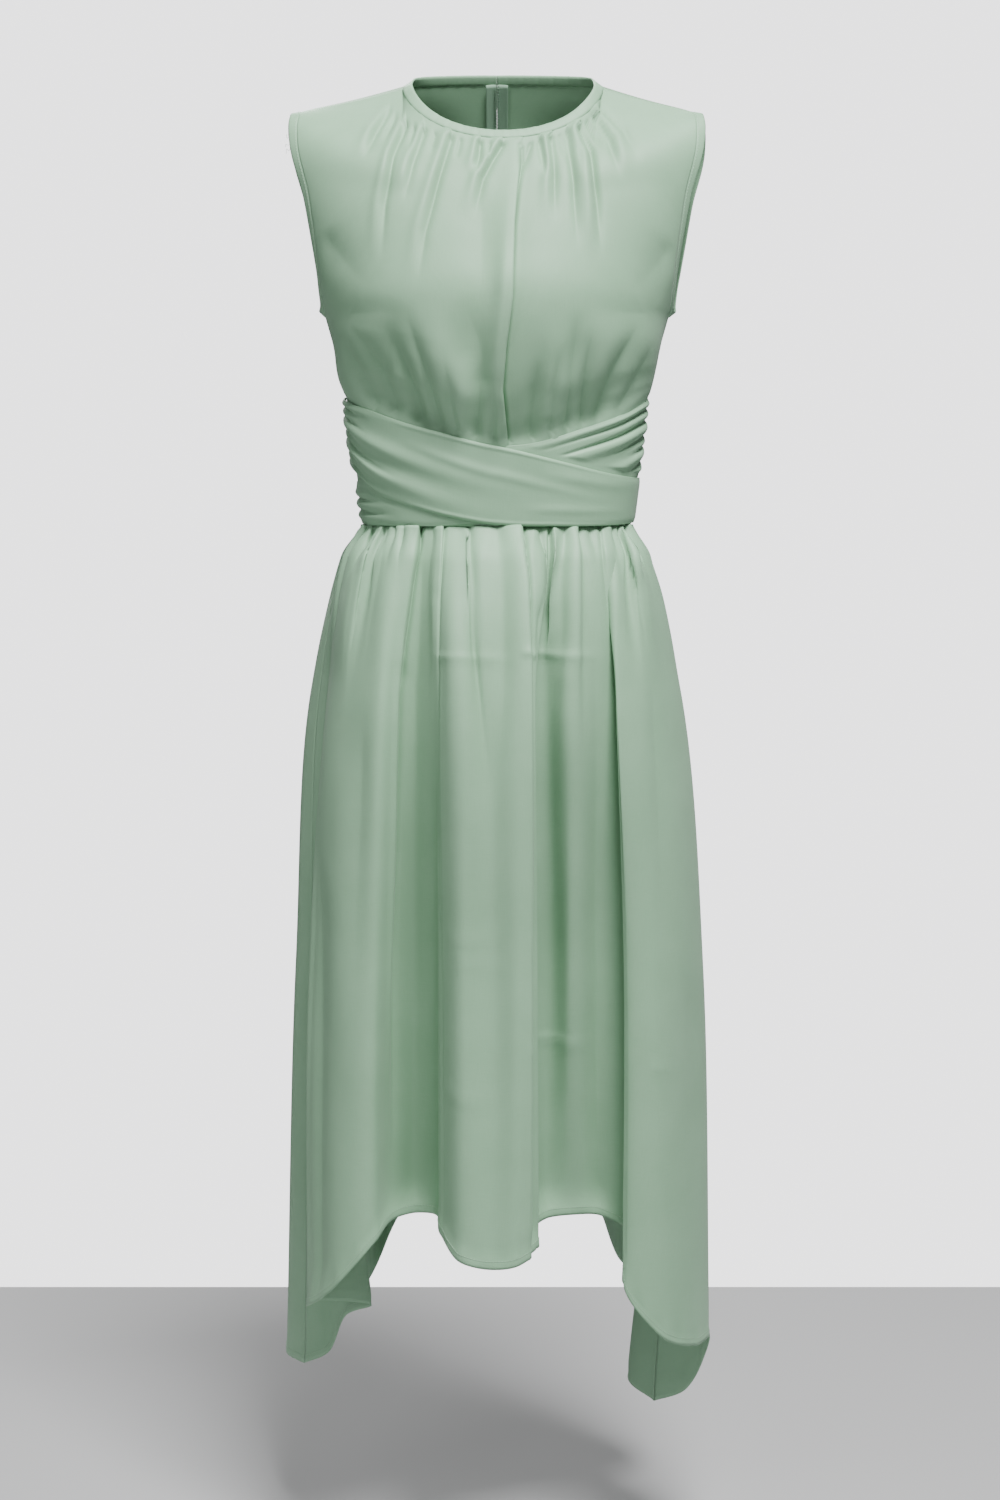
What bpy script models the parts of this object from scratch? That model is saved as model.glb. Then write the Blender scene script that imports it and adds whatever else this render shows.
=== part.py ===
"""Sleeveless A-line dress: cloth walls of real thickness in the worn form.

Frame: metres, +Z up, the front faces -Y, the wearer's left is +X.
The origin is midway between the two high points of the shoulders.
Tables are in millimetres and are turned into metres where they are used.
"""
import math

import bmesh
import bpy
import numpy as np
from mathutils import Matrix, Vector

MM = 0.001

# ---- driving sizes (metres) ---------------------------------------------------------------
WALL = 1.6 * MM
SEAM_GAP = 0.3 * MM
SASH_WALL = 1.3 * MM
SASH_GAP = 0.6 * MM
BINDING_WIDTH = 9.0 * MM
BINDING_THICK = 2.2 * MM

NECK_CENTRE_X = 6 * MM
NECK_HALF_WIDTH = 97 * MM
NECK_FRONT_Y = -66 * MM
NECK_FRONT_Z = -63 * MM
NECK_BACK_Y = 54 * MM
NECK_BACK_Z = 4 * MM
NECK_SIDE_Z = -6 * MM
NECK_SHARE = 0.47

SHOULDER_TIP_X = 192 * MM
SHOULDER_TIP_Z = -31 * MM
ARMHOLE_BOTTOM_Z = -230 * MM
ARMHOLE_HALF_DEPTH = 47 * MM

WAIST_Z = -434 * MM
BACK_BAND_TOP_Z = -309 * MM

ZIP_DROP = 7 * MM
SLIDER_LENGTH = 9 * MM
SLIDER_WIDTH = 5.6 * MM
SLIDER_THICK = 2.0 * MM
CHEEK_THICK = 0.9 * MM
BAR_RADIUS = 0.70 * MM
RING_INNER = 0.76 * MM
RING_OUTER = 1.6 * MM
PULL_RING_WIDTH = 2.6 * MM
PULL_WIDTH = 5.0 * MM
PULL_LENGTH = 19 * MM
PULL_THICK = 1.2 * MM

CLOTH_COLOR = (0.36, 0.48, 0.39)
METAL_COLOR = (0.33, 0.42, 0.36)


# ---- smooth tables ------------------------------------------------------------------------
def smooth(knots, values, where):
    """Cubic Hermite curve through a table; values may be numbers or rows of numbers."""
    knots = np.asarray(knots, float)
    values = np.asarray(values, float)
    where = np.clip(np.asarray(where, float), knots[0], knots[-1])
    slopes = np.empty_like(values)
    steps = np.diff(knots)
    rises = np.diff(values, axis=0)
    if values.ndim > 1:
        steps_shaped = steps.reshape((-1,) + (1,) * (values.ndim - 1))
    else:
        steps_shaped = steps
    secants = rises / steps_shaped
    slopes[0] = secants[0]
    slopes[-1] = secants[-1]
    before = steps_shaped[:-1]
    after = steps_shaped[1:]
    slopes[1:-1] = (secants[:-1] * after + secants[1:] * before) / (before + after)
    index = np.clip(np.searchsorted(knots, where, side="right") - 1, 0, len(knots) - 2)
    span = steps[index]
    t = (where - knots[index]) / span
    if values.ndim > 1:
        shape = t.shape + (1,) * (values.ndim - 1)
        t = t.reshape(shape)
        span = span.reshape(shape)
    h00 = 2 * t ** 3 - 3 * t ** 2 + 1
    h10 = t ** 3 - 2 * t ** 2 + t
    h01 = -2 * t ** 3 + 3 * t ** 2
    h11 = t ** 3 - t ** 2
    return (h00 * values[index] + h10 * span * slopes[index]
            + h01 * values[index + 1] + h11 * span * slopes[index + 1])


def ease(value):
    value = np.clip(value, 0.0, 1.0)
    return value * value * (3 - 2 * value)


# ---- the worn form ------------------------------------------------------------------------
# Tight form round the waist, below the blousing: half width and depths at heights.
WAIST_FORM = [
    # z, half_width, front, back
    (-230, 172, 112, 104),
    (-262, 161, 107, 101),
    (-306, 149, 101, 96),
    (-434, 133, 93, 92),
]
WAIST_ROUND = 2.25


def waist_point(angle, z, out=0.0):
    """Point on the tight form; angle 0 is centre front, +90 degrees the wearer's left side."""
    form = np.array(WAIST_FORM[::-1], float) * MM
    half_width = np.interp(z, form[:, 0], form[:, 1])
    front = np.interp(z, form[:, 0], form[:, 2])
    back = np.interp(z, form[:, 0], form[:, 3])
    across = np.sin(angle)
    along = -np.cos(angle)
    depth = np.where(along < 0, front, back)
    x = (half_width + out) * np.sign(across) * np.abs(across) ** (2 / WAIST_ROUND)
    y = (depth + out) * np.sign(along) * np.abs(along) ** (2 / WAIST_ROUND)
    return np.stack([x, y, z + 0 * x], axis=-1)


# Edge of the armhole where the binding starts, seen from the front.
ARMHOLE_EDGE = [
    # z, x
    (-230, 172), (-208, 173), (-160, 178), (-116, 184), (-62, 195), (-45, 195), (-31, 192),
]


def armhole_point(side, turn):
    """Edge of the armhole; turn 0 at the shoulder tip, 1 at the underarm, negative = front."""
    angle = np.abs(turn) * math.pi
    middle_z = (SHOULDER_TIP_Z + ARMHOLE_BOTTOM_Z) / 2
    half_height = (SHOULDER_TIP_Z - ARMHOLE_BOTTOM_Z) / 2
    z = middle_z + half_height * np.cos(angle)
    y = np.sign(turn) * ARMHOLE_HALF_DEPTH * np.sin(angle) ** 0.85
    edge = np.array(ARMHOLE_EDGE, float) * MM
    x = smooth(edge[:, 0], edge[:, 1], z)
    spread_back = 6 * MM if side > 0 else 2 * MM
    x = x + np.sin(angle) * np.where(turn > 0, spread_back, -2 * MM)
    return np.stack([side * x, y, z], axis=-1)


def side_point(side, z):
    """Side seam from the underarm to the waist seam."""
    form = np.array(WAIST_FORM[::-1], float) * MM
    half_width = np.interp(z, form[:, 0], form[:, 1])
    return np.stack([side * half_width, 0 * z, z], axis=-1)


def top_row(share, front):
    """Neck and shoulder line; share runs -1..1 from the right shoulder tip to the left one."""
    amount = np.abs(share)
    side = np.sign(share)
    around = np.clip(amount / NECK_SHARE, 0, 1) * math.pi / 2
    neck_y = NECK_FRONT_Y if front else NECK_BACK_Y
    neck_z = NECK_FRONT_Z if front else NECK_BACK_Z
    dip = np.cos(around)
    shift = NECK_CENTRE_X * (1.0 if front else np.sin(around))
    neck = np.stack([shift + side * NECK_HALF_WIDTH * np.sin(around) ** 0.95,
                     neck_y * dip ** 0.85,
                     NECK_SIDE_Z + (neck_z - NECK_SIDE_Z) * dip ** (1.15 if front else 1.0)], axis=-1)
    along = np.clip((amount - NECK_SHARE) / (1 - NECK_SHARE), 0, 1)
    slope = 1.12 * along - 0.24 * along ** 3 + 0.12 * along ** 8
    start = NECK_CENTRE_X + side * NECK_HALF_WIDTH
    shoulder = np.stack([start + (side * SHOULDER_TIP_X - start) * along,
                         0 * along,
                         NECK_SIDE_Z + (SHOULDER_TIP_Z - NECK_SIDE_Z) * slope], axis=-1)
    return np.where((amount < NECK_SHARE)[..., None], neck, shoulder)


# Edges of the two bands of the sash at turns round the front of the waist.
SASH_OVER = [
    # turn (deg), upper edge z, lower edge z
    (-90, -308, -372), (-70, -315, -386), (-52, -323, -404), (-35, -334, -414), (-16, -346, -425),
    (0, -357, -432), (22, -371, -433.5), (45, -382, -433.5), (70, -387, -432), (90, -387, -430),
]
SASH_UNDER = [
    (-90, -392, -431), (-70, -388, -433), (-45, -380, -433.5), (-20, -372, -433.5), (-6, -360, -430),
    (12, -354, -422), (32, -340, -412), (52, -327, -402), (70, -315, -392), (90, -309, -384),
]


def sash_edges(table, turn):
    rows = np.array(table, float)
    return smooth(rows[:, 0], rows[:, 1], turn) * MM, smooth(rows[:, 0], rows[:, 2], turn) * MM


def sash_line(turn):
    """Crossed upper edge of the sash, the higher of its two bands."""
    return np.maximum(sash_edges(SASH_OVER, turn)[0], sash_edges(SASH_UNDER, turn)[0])


# Bodice rows between the neck and the waist: where the row meets the armhole (turn) or the
# side seam (edge_z), and where it lies at the centre.
FRONT_ROWS = [
    # v, turn, edge_z, middle_z, middle_y, power, wrap
    (0.13, 0.22, None, -90, -84, 2.4, 0.0),
    (0.25, 0.42, None, -126, -103, 2.4, 0.05),
    (0.37, 0.62, None, -166, -121, 2.4, 0.15),
    (0.48, 0.82, None, -202, -134, 2.4, 0.35),
    (0.58, 1.00, None, -232, -136, 2.4, 0.6),
    (0.67, None, -250, -266, -132, 2.4, 0.9),
    (0.77, None, -272, -304, -122, 2.35, 1.0),
    (0.85, None, -292, -338, -108, 2.3, 1.0),
    (0.91, None, -306, -361, -96.5, 2.25, 1.0),
    (1.00, None, -433.7, -433.7, -93, 2.25, 1.0),
]
BACK_ROWS = [
    # v, turn, edge_z, middle_z, middle_y, power, wrap
    (0.16, 0.22, None, -44, 76, 2.4, 0.0),
    (0.32, 0.42, None, -96, 95, 2.4, 0.1),
    (0.46, 0.62, None, -142, 105, 2.4, 0.2),
    (0.60, 0.82, None, -186, 110, 2.4, 0.4),
    (0.72, 1.00, None, -226, 112, 2.4, 0.6),
    (0.84, None, -262, -262, 110, 2.4, 0.95),
    (0.94, None, -292, -292, 104, 2.3, 1.0),
    (1.00, None, -308.7, -308.7, 96, 2.25, 1.0),
]
UNDERARM_FRONT = 0.58
SASH_TOP_FRONT = 0.91
# Rows of the front that follow the crossed upper edges of the sash, and how far above (mm).
ABOVE_SASH = {0.85: 24, 0.91: 2.5}
UNDERARM_BACK = 0.72


def snap_edges(rows, sign, share, level, grid):
    """Move the ends of each row onto the armhole and the side seam."""
    underarm = UNDERARM_FRONT if sign < 0 else UNDERARM_BACK
    held = [(0.0, 0.0)] + [(row[0], row[1]) for row in rows if row[1] is not None]
    turn = smooth([row[0] for row in held], [row[1] for row in held], level)
    low = [(underarm, ARMHOLE_BOTTOM_Z / MM)] + [(row[0], row[2]) for row in rows if row[1] is None]
    edge_z = smooth([row[0] for row in low], [row[1] for row in low], level) * MM
    weight = np.abs(share) ** 5
    for side in (-1.0, 1.0):
        column = 0 if share[0] * side > 0.5 else -1
        if share[column] * side < 0.5:
            continue
        upper = armhole_point(side, sign * np.clip(turn, 1e-9, 1.0))
        lower = side_point(side, edge_z)
        exact = np.where((level <= underarm)[:, None], upper, lower)
        shift = exact - grid[:, column]
        shift[0] = 0
        grid += shift[:, None, :] * (weight * (share * side > 0))[None, :, None]


def bodice_surface(rows, share, level):
    """Grid of points of the front or back bodice: share across, level from neck to waist."""
    front = rows is FRONT_ROWS
    sign = -1.0 if front else 1.0
    stack = [top_row(share, front)]
    knots = [0.0]
    amount = np.abs(share)
    for v, turn, edge_z, middle_z, middle_y, power, wrap in rows:
        knots.append(v)
        ends = []
        for side in (-1.0, 1.0):
            if turn is None:
                end = side_point(side, np.array(edge_z * MM))
            else:
                end = armhole_point(side, np.array(sign * turn))
            ends.append(end)
        across = (1 - wrap) * amount + wrap * np.sin(amount * math.pi / 2)
        inward = np.clip(1 - across ** power, 0, 1) ** (1 / (1 + wrap * (power - 1)))
        edge = np.where((share < 0)[:, None], ends[0], ends[1])
        middle = np.array([0.0, middle_y * MM, middle_z * MM])
        x = middle[0] + (edge[:, 0] - middle[0]) * across
        y = edge[:, 1] + (middle[1] - edge[:, 1]) * inward
        z = edge[:, 2] + (middle[2] - edge[:, 2]) * (1 - across ** 2)
        if front and v in ABOVE_SASH:
            z = sash_line(share * 90) + ABOVE_SASH[v] * MM
        stack.append(np.stack([x, y, z], axis=-1))
    grid = smooth(knots, np.array(stack), level)
    snap_edges(rows, sign, share, level, grid)
    tight = level >= (SASH_TOP_FRONT if front else 1.0) - 1e-6
    turn = np.broadcast_to(share * math.pi / 2, grid[tight, :, 0].shape)
    if not front:
        turn = math.pi - turn
    grid[tight] = waist_point(turn, grid[tight, :, 2])
    return grid


# ---- creases ------------------------------------------------------------------------------
def crease_depth(points, creases):
    """Sum of soft troughs (positive depth) along straight lines seen from the front, in mm."""
    total = np.zeros(points.shape[:-1])
    seen = points[..., [0, 2]] / MM
    for _, x0, z0, x1, z1, width, depth in creases:
        start = np.array([x0, z0], float)
        line = np.array([x1, z1], float) - start
        length = np.linalg.norm(line)
        unit = line / length
        away = seen - start
        along = away @ unit / length
        beside = away @ np.array([-unit[1], unit[0]])
        fade = ease((along + 0.18) / 0.36) * ease((1.18 - along) / 0.36)
        total += depth * fade * np.exp(-(beside / width) ** 2)
    return total


# Largest folds of the bodice front, read from the front view (x and z in mm).
BODICE_FOLDS = [
    # name, x0, z0, x1, z1, width, depth (ridges are negative)
    ("middle_ridge", 2, -80, 4, -310, 9, -6.0),
    ("middle_trough", 17, -92, 15, -330, 7, 7.0),
    ("right_gather_main", -68, -60, -92, -190, 8, 5.0),
    ("right_gather_ridge", -46, -66, -60, -160, 8, -4.0),
    ("left_gather_main", 72, -64, 92, -180, 8, 5.5),
    ("left_gather_ridge", 52, -70, 58, -150, 8, -4.0),
    ("right_shoulder_pull", -98, -28, -124, -62, 7, 4.0),
    ("neck_gather_1", -84, -36, -112, -125, 6, 3.5),
    ("neck_gather_2", -16, -70, -18, -112, 5, 3.0),
    ("neck_gather_3", 31, -70, 33, -112, 5, 4.0),
    ("neck_gather_4", 90, -44, 108, -125, 6, 3.5),
    ("right_bust_trough", -108, -245, -76, -325, 7, 7.0),
    ("right_bust_ridge", -92, -236, -58, -338, 8, -6.0),
    ("middle_hollow", -20, -212, -8, -300, 10, 6.0),
    ("left_bust_trough", 76, -240, 68, -330, 7, 6.5),
    ("left_bust_ridge", 98, -235, 86, -325, 9, -5.5),
    ("left_side_fold", 134, -240, 94, -322, 8, 5.5),
    ("right_side_fold", -146, -248, -104, -318, 8, 5.5),
]


# ---- skirt --------------------------------------------------------------------------------
HIP_Z = -560
KNEE_Z = -865
LEVEL_KNOTS = [0.0, 0.2, 0.6, 1.0]

# One row for each fold line of the skirt front, from the wearer's right seam to the left one.
SKIRT_FRONT = [
    # name, waist turn (deg), hip x, y, knee x, y, hem x, y, z
    ("right_seam", -90, -172, 4, -190, 8, -200, 14, -1300),
    ("right_seam_front", -86, -168, -4, -182, 2, -176, 2, -1286),
    ("right_fold_outer", -82, -164, -12, -172, -6, -154, -12, -1240),
    ("right_fold_inner", -79, -162, -22, -164, -20, -128, -26, -1226),
    ("right_fold_back", -75, -162, -34, -178, -38, -182, -46, -1214),
    ("crest_right_edge", -68, -158, -52, -186, -66, -190, -76, -1210),
    ("crest_right_top", -57, -140, -88, -156, -114, -158, -127, -1174),
    ("crest_right_inner", -46, -110, -117, -118, -132, -118, -133, -1127),
    ("valley_right_outer", -38, -93, -112, -98, -106, -100, -100, -1114),
    ("valley_right_inner", -29, -70, -118, -66, -106, -66, -90, -1112),
    ("crest_middle_edge", -22, -53, -136, -53, -146, -53, -156, -1117),
    ("crest_middle_right", -13, -32, -150, -33, -171, -35, -187, -1131),
    ("crest_middle", -1, -3, -147, -2, -168, -4, -191, -1137),
    ("crest_middle_left", 8, 20, -150, 20, -175, 18, -191, -1134),
    ("crest_middle_lip", 14, 36, -148, 38, -164, 39, -170, -1124),
    ("valley_left_undercut", 18, 34, -124, 31, -130, 34, -130, -1118),
    ("valley_left_floor", 23, 47, -117, 48, -108, 51, -102, -1114),
    ("valley_left_bump", 31, 70, -125, 70, -114, 72, -91, -1113),
    ("valley_left_outer", 41, 96, -113, 100, -100, 102, -87, -1115),
    ("deep_crease", 51, 116, -94, 128, -86, 130, -82, -1132),
    ("crest_left_edge", 57, 114, -112, 124, -116, 124, -122, -1176),
    ("crest_left_top", 65, 140, -92, 154, -114, 158, -120, -1224),
    ("crest_left_outer", 74, 162, -56, 190, -68, 198, -78, -1250),
    ("crest_left_turn", 81, 174, -24, 207, -26, 216, -32, -1258),
    ("left_seam_front", 86, 172, -6, 200, 2, 192, 4, -1316),
    ("left_seam", 90, 168, 4, 188, 16, 164, 26, -1346),
]
# Fold lines of the skirt back, from the wearer's left seam to the centre back.
SKIRT_BACK_LEFT = [
    ("left_seam", 90, 168, 4, 188, 16, 164, 26, -1346),
    ("left_turn_in", 95, 166, 20, 178, 34, 138, 56, -1322),
    ("left_back_edge", 103, 168, 50, 192, 72, 190, 92, -1272),
    ("left_back_crest", 115, 152, 88, 170, 118, 180, 140, -1246),
    ("left_back_valley", 128, 122, 104, 134, 112, 137, 120, -1228),
    ("left_middle_crest", 142, 90, 132, 98, 156, 104, 172, -1176),
    ("left_middle_valley", 156, 54, 132, 54, 136, 54, 138, -1170),
    ("left_inner_crest", 168, 24, 142, 26, 164, 26, 180, -1168),
    ("centre_back", 180, 0, 139, 0, 150, 0, 162, -1166),
]
SKIRT_BACK_RIGHT = [
    ("centre_back", 180, 0, 139, 0, 150, 0, 162, -1166),
    ("right_inner_valley", 191, -28, 136, -30, 138, -30, 142, -1167),
    ("right_middle_crest", 204, -60, 140, -64, 168, -66, 184, -1170),
    ("right_middle_valley", 218, -94, 122, -100, 128, -104, 134, -1176),
    ("right_back_crest", 232, -124, 112, -134, 140, -137, 158, -1252),
    ("right_back_valley", 244, -148, 84, -160, 88, -166, 98, -1268),
    ("right_back_edge", 256, -176, 54, -204, 62, -217, 68, -1276),
    ("right_turn_in", 265, -180, 26, -206, 30, -219, 38, -1284),
    ("right_seam", 270, -172, 4, -190, 8, -200, 14, -1300),
]

# Small pleats sewn into the waist seam: the turn round the waist of each trough and its length.
WAIST_PLEATS_FRONT = [
    # turn (deg), length as a share of the skirt, depth (mm)
    (-82, 0.16, 3.5), (-73, 0.24, 4.5), (-64, 0.18, 4.0), (-55, 0.26, 5.0), (-47, 0.20, 5.5),
    (-40, 0.24, 5.5), (-33, 0.38, 8.0), (-20, 0.22, 5.5), (-10, 0.32, 6.0), (1, 0.18, 4.5),
    (12, 0.24, 6.5), (20, 0.20, 5.0), (27, 0.16, 4.5), (35, 0.24, 6.0), (47, 0.36, 5.5),
    (57, 0.22, 5.5), (66, 0.20, 5.0), (75, 0.18, 4.5), (83, 0.14, 3.5),
]
BACK_PLEATS = 15
PUFF_DEPTH = 9.0
BACK_PLEAT_DEPTH = 3.6


def skirt_lattice(table):
    """Points of the fold lines at waist, hip, knee and hem, and each line's place across."""
    lines = []
    for _, turn, hip_x, hip_y, knee_x, knee_y, hem_x, hem_y, hem_z in table:
        waist = waist_point(np.array(math.radians(turn)), np.array(WAIST_Z))
        low = (hem_z + 1150) * 0.12
        lines.append([waist,
                      np.array([hip_x, hip_y, HIP_Z]) * MM,
                      np.array([knee_x, knee_y, KNEE_Z + low]) * MM,
                      np.array([hem_x, hem_y, hem_z]) * MM])
    lines = np.array(lines)
    steps = np.linalg.norm(np.diff(lines[:, 2], axis=0), axis=1)
    steps = steps + np.linalg.norm(np.diff(lines[:, 3], axis=0), axis=1)
    place = np.concatenate([[0.0], np.cumsum(steps)])
    return lines, place / place[-1]


def pleat_troughs(table, pleats, share, level):
    """Depth in mm of the small pleats on a grid of places across and levels down."""
    turns = [row[1] for row in table]
    lines, place = skirt_lattice(table)
    total = np.zeros((len(level), len(share)))
    turn_of = smooth(place, turns, share)
    for turn, length, depth in pleats:
        beside = np.exp(-((turn_of - turn) / 2.6) ** 2)
        down = 1 - ease(level / length)
        total += depth * down[:, None] * beside[None, :]
    puff = PUFF_DEPTH * ease(level / 0.05) * (1 - ease((level - 0.05) / 0.20))
    seam_fade = ease(share / 0.04) * ease((1 - share) / 0.04)
    return total * seam_fade - puff[:, None]


def skirt_surface(table, share, level):
    lines, place = skirt_lattice(table)
    down = smooth(LEVEL_KNOTS, np.swapaxes(lines, 0, 1), level)
    across = smooth(place, np.swapaxes(down, 0, 1), share)
    return np.swapaxes(across, 0, 1)


# ---- walls --------------------------------------------------------------------------------
def grid_normals(grid):
    """Unit normals of a grid, pointing away from the inside of the garment."""
    across = np.gradient(grid, axis=1)
    down = np.gradient(grid, axis=0)
    normal = np.cross(across, down)
    normal /= np.linalg.norm(normal, axis=-1, keepdims=True) + 1e-12
    away = grid * np.array([1, 1, 0])
    if np.sum(normal * away) < 0:
        normal = -normal
    return normal


def unit(vectors):
    return vectors / (np.linalg.norm(vectors, axis=-1, keepdims=True) + 1e-12)


def flat(vectors, keep):
    """Unit vectors with only the named axes kept."""
    return unit(vectors * np.array(keep, float))


def make_material(name, color, roughness, metallic):
    material = bpy.data.materials.new(name)
    material.use_nodes = True
    shader = material.node_tree.nodes["Principled BSDF"]
    shader.inputs["Base Color"].default_value = (*color, 1.0)
    shader.inputs["Roughness"].default_value = roughness
    shader.inputs["Metallic"].default_value = metallic
    material.diffuse_color = (*color, 1.0)
    return material


def add_object(name, vertices, faces, color=CLOTH_COLOR, roughness=0.55, metallic=0.0):
    mesh = bpy.data.meshes.new(name)
    mesh.from_pydata([tuple(v) for v in vertices], [], faces)
    solid = bmesh.new()
    solid.from_mesh(mesh)
    bmesh.ops.recalc_face_normals(solid, faces=solid.faces)
    if solid.calc_volume(signed=True) < 0:
        bmesh.ops.reverse_faces(solid, faces=solid.faces)
    solid.to_mesh(mesh)
    solid.free()
    for polygon in mesh.polygons:
        polygon.use_smooth = True
    mesh.materials.append(make_material(name + "_material", color, roughness, metallic))
    made = bpy.data.objects.new(name, mesh)
    bpy.context.scene.collection.objects.link(made)
    return made


def cloth_wall(name, outer, normals, thickness=WALL):
    """Closed wall from a grid of outer points: two skins and four rims."""
    rows, columns = outer.shape[:2]
    inner = outer - normals * thickness
    vertices = np.concatenate([outer.reshape(-1, 3), inner.reshape(-1, 3)])
    shift = rows * columns

    def at(row, column, skin):
        return skin * shift + row * columns + column

    faces = []
    for row in range(rows - 1):
        for column in range(columns - 1):
            a = at(row, column, 0)
            b = at(row, column + 1, 0)
            c = at(row + 1, column + 1, 0)
            d = at(row + 1, column, 0)
            faces.append((a, b, c, d))
            faces.append((a + shift, d + shift, c + shift, b + shift))
    for column in range(columns - 1):
        for row in (0, rows - 1):
            a = at(row, column, 0)
            b = at(row, column + 1, 0)
            faces.append((a, a + shift, b + shift, b) if row == 0 else (a, b, b + shift, a + shift))
    for row in range(rows - 1):
        for column in (0, columns - 1):
            a = at(row, column, 0)
            b = at(row + 1, column, 0)
            faces.append((a, b, b + shift, a + shift) if column == 0 else (a, a + shift, b + shift, b))
    return add_object(name, vertices, faces)


def strip_solid(name, root, reach, normal, closed, thickness=BINDING_THICK):
    """Rounded strip: root line, reach vectors to its free edge, and outward normals."""
    count = len(root)
    section = [(0.0, 0.34), (0.5, 0.52), (0.95, 0.34), (0.95, -0.34), (0.5, -0.52), (0.0, -0.34)]
    vertices = []
    for index in range(count):
        for along, beside in section:
            vertices.append(root[index] + reach[index] * along + normal[index] * beside * thickness)
    size = len(section)
    faces = []
    last = count if closed else count - 1
    for index in range(last):
        after = (index + 1) % count
        for corner in range(size):
            beside = (corner + 1) % size
            faces.append((index * size + corner, index * size + beside,
                          after * size + beside, after * size + corner))
    if not closed:
        faces.append(tuple(range(size)))
        faces.append(tuple(range((count - 1) * size, count * size))[::-1])
    return add_object(name, vertices, faces)


# ---- pieces -------------------------------------------------------------------------------
def spread(count, low=-1.0, high=1.0):
    return np.linspace(low, high, count)


GRIDS = {}
FRONT_SHARE = np.concatenate([np.linspace(0, NECK_SHARE, 16), np.linspace(NECK_SHARE, 1, 9)[1:]])
BACK_SHARE = np.concatenate([np.linspace(0, NECK_SHARE, 8), np.linspace(NECK_SHARE, 1, 9)[1:]])


def square_to(normals, line):
    """Normals turned square to the line of points that they stand on."""
    tangent = unit(np.gradient(line, axis=0))
    return unit(normals - tangent * np.sum(normals * tangent, axis=-1, keepdims=True))


def bodice_normals(grid, share):
    normals = grid_normals(grid)
    shoulder = np.abs(share) >= NECK_SHARE - 1e-6
    neck = np.abs(share) < NECK_SHARE - 1e-6
    normals[0, neck] = square_to(normals[0], grid[0])[neck]
    normals[0, shoulder] = flat(normals[0, shoulder], (1, 0, 1))
    normals[1:, 0] = square_to(normals[:, 0], grid[:, 0])[1:]
    normals[1:, -1] = square_to(normals[:, -1], grid[:, -1])[1:]
    normals[-1] = flat(normals[-1], (1, 1, 0))
    return normals


def make_bodice_front():
    share = np.concatenate([-FRONT_SHARE[::-1], FRONT_SHARE[1:]])
    level = np.concatenate([np.linspace(0, UNDERARM_FRONT, 12), np.linspace(UNDERARM_FRONT, 0.85, 6)[1:],
                            [0.88, 0.91, 1.0]])
    grid = bodice_surface(FRONT_ROWS, share, level)
    normals = bodice_normals(grid, share)
    depth = crease_depth(grid, BODICE_FOLDS)
    edge_fade = ease((1 - np.abs(share)) / 0.12)[None, :]
    level_fade = ease(level / 0.05)[:, None] * ease((0.905 - level) / 0.06)[:, None]
    grid = grid - normals * (depth * edge_fade * level_fade)[..., None] * MM
    normals = bodice_normals(grid, share)
    seam = level > UNDERARM_FRONT - 1e-6
    grid[0, np.abs(share) >= NECK_SHARE - 1e-6, 1] = -SEAM_GAP / 2
    for column, side in ((0, -1.0), (-1, 1.0)):
        grid[:, column, 1] = np.minimum(grid[:, column, 1], -SEAM_GAP / 2)
        grid[seam, column, 1] = -SEAM_GAP / 2
        normals[seam, column] = (side, 0, 0)
    GRIDS["front"] = (grid, normals, share, level)
    return cloth_wall("bodice_front", grid, normals)


def make_bodice_back(name, side):
    share = side * BACK_SHARE if side > 0 else -BACK_SHARE[::-1]
    level = np.concatenate([np.linspace(0, UNDERARM_BACK, 11), [0.79, 0.86, 0.92, 0.96, 1.0]])
    grid = bodice_surface(BACK_ROWS, np.where(share == 0, side * 1e-9, share), level)
    normals = bodice_normals(grid, share)
    middle = 0 if side > 0 else -1
    outer = -1 if side > 0 else 0
    seam = level > UNDERARM_BACK - 1e-6
    grid[0, np.abs(share) >= NECK_SHARE - 1e-6, 1] = SEAM_GAP / 2
    grid[:, middle, 0] = side * SEAM_GAP / 2
    grid[:, outer, 1] = np.maximum(grid[:, outer, 1], SEAM_GAP / 2)
    grid[seam, outer, 1] = SEAM_GAP / 2
    normals[:, middle] = flat(normals[:, middle], (0, 1, 1))
    normals[-1, middle] = (0, 1, 0)
    normals[seam, outer] = (side, 0, 0)
    GRIDS["back_left" if side > 0 else "back_right"] = (grid, normals, share, level)
    return cloth_wall(name, grid, normals)


def make_back_band(name, side):
    turn = np.radians(np.linspace(90, 180, 13))
    z = np.linspace(BACK_BAND_TOP_Z, WAIST_Z + SEAM_GAP, 5)
    grid = np.array([waist_point(side * turn, np.full_like(turn, height)) for height in z])
    if side < 0:
        grid = grid[:, ::-1]
    normals = flat(grid_normals(grid), (1, 1, 0))
    middle = -1 if side > 0 else 0
    outer = 0 if side > 0 else -1
    grid[:, middle, 0] = side * SEAM_GAP / 2
    grid[:, outer, 1] = SEAM_GAP / 2
    normals[:, middle] = (0, 1, 0)
    normals[:, outer] = (side, 0, 0)
    return cloth_wall(name, grid, normals)


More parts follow.
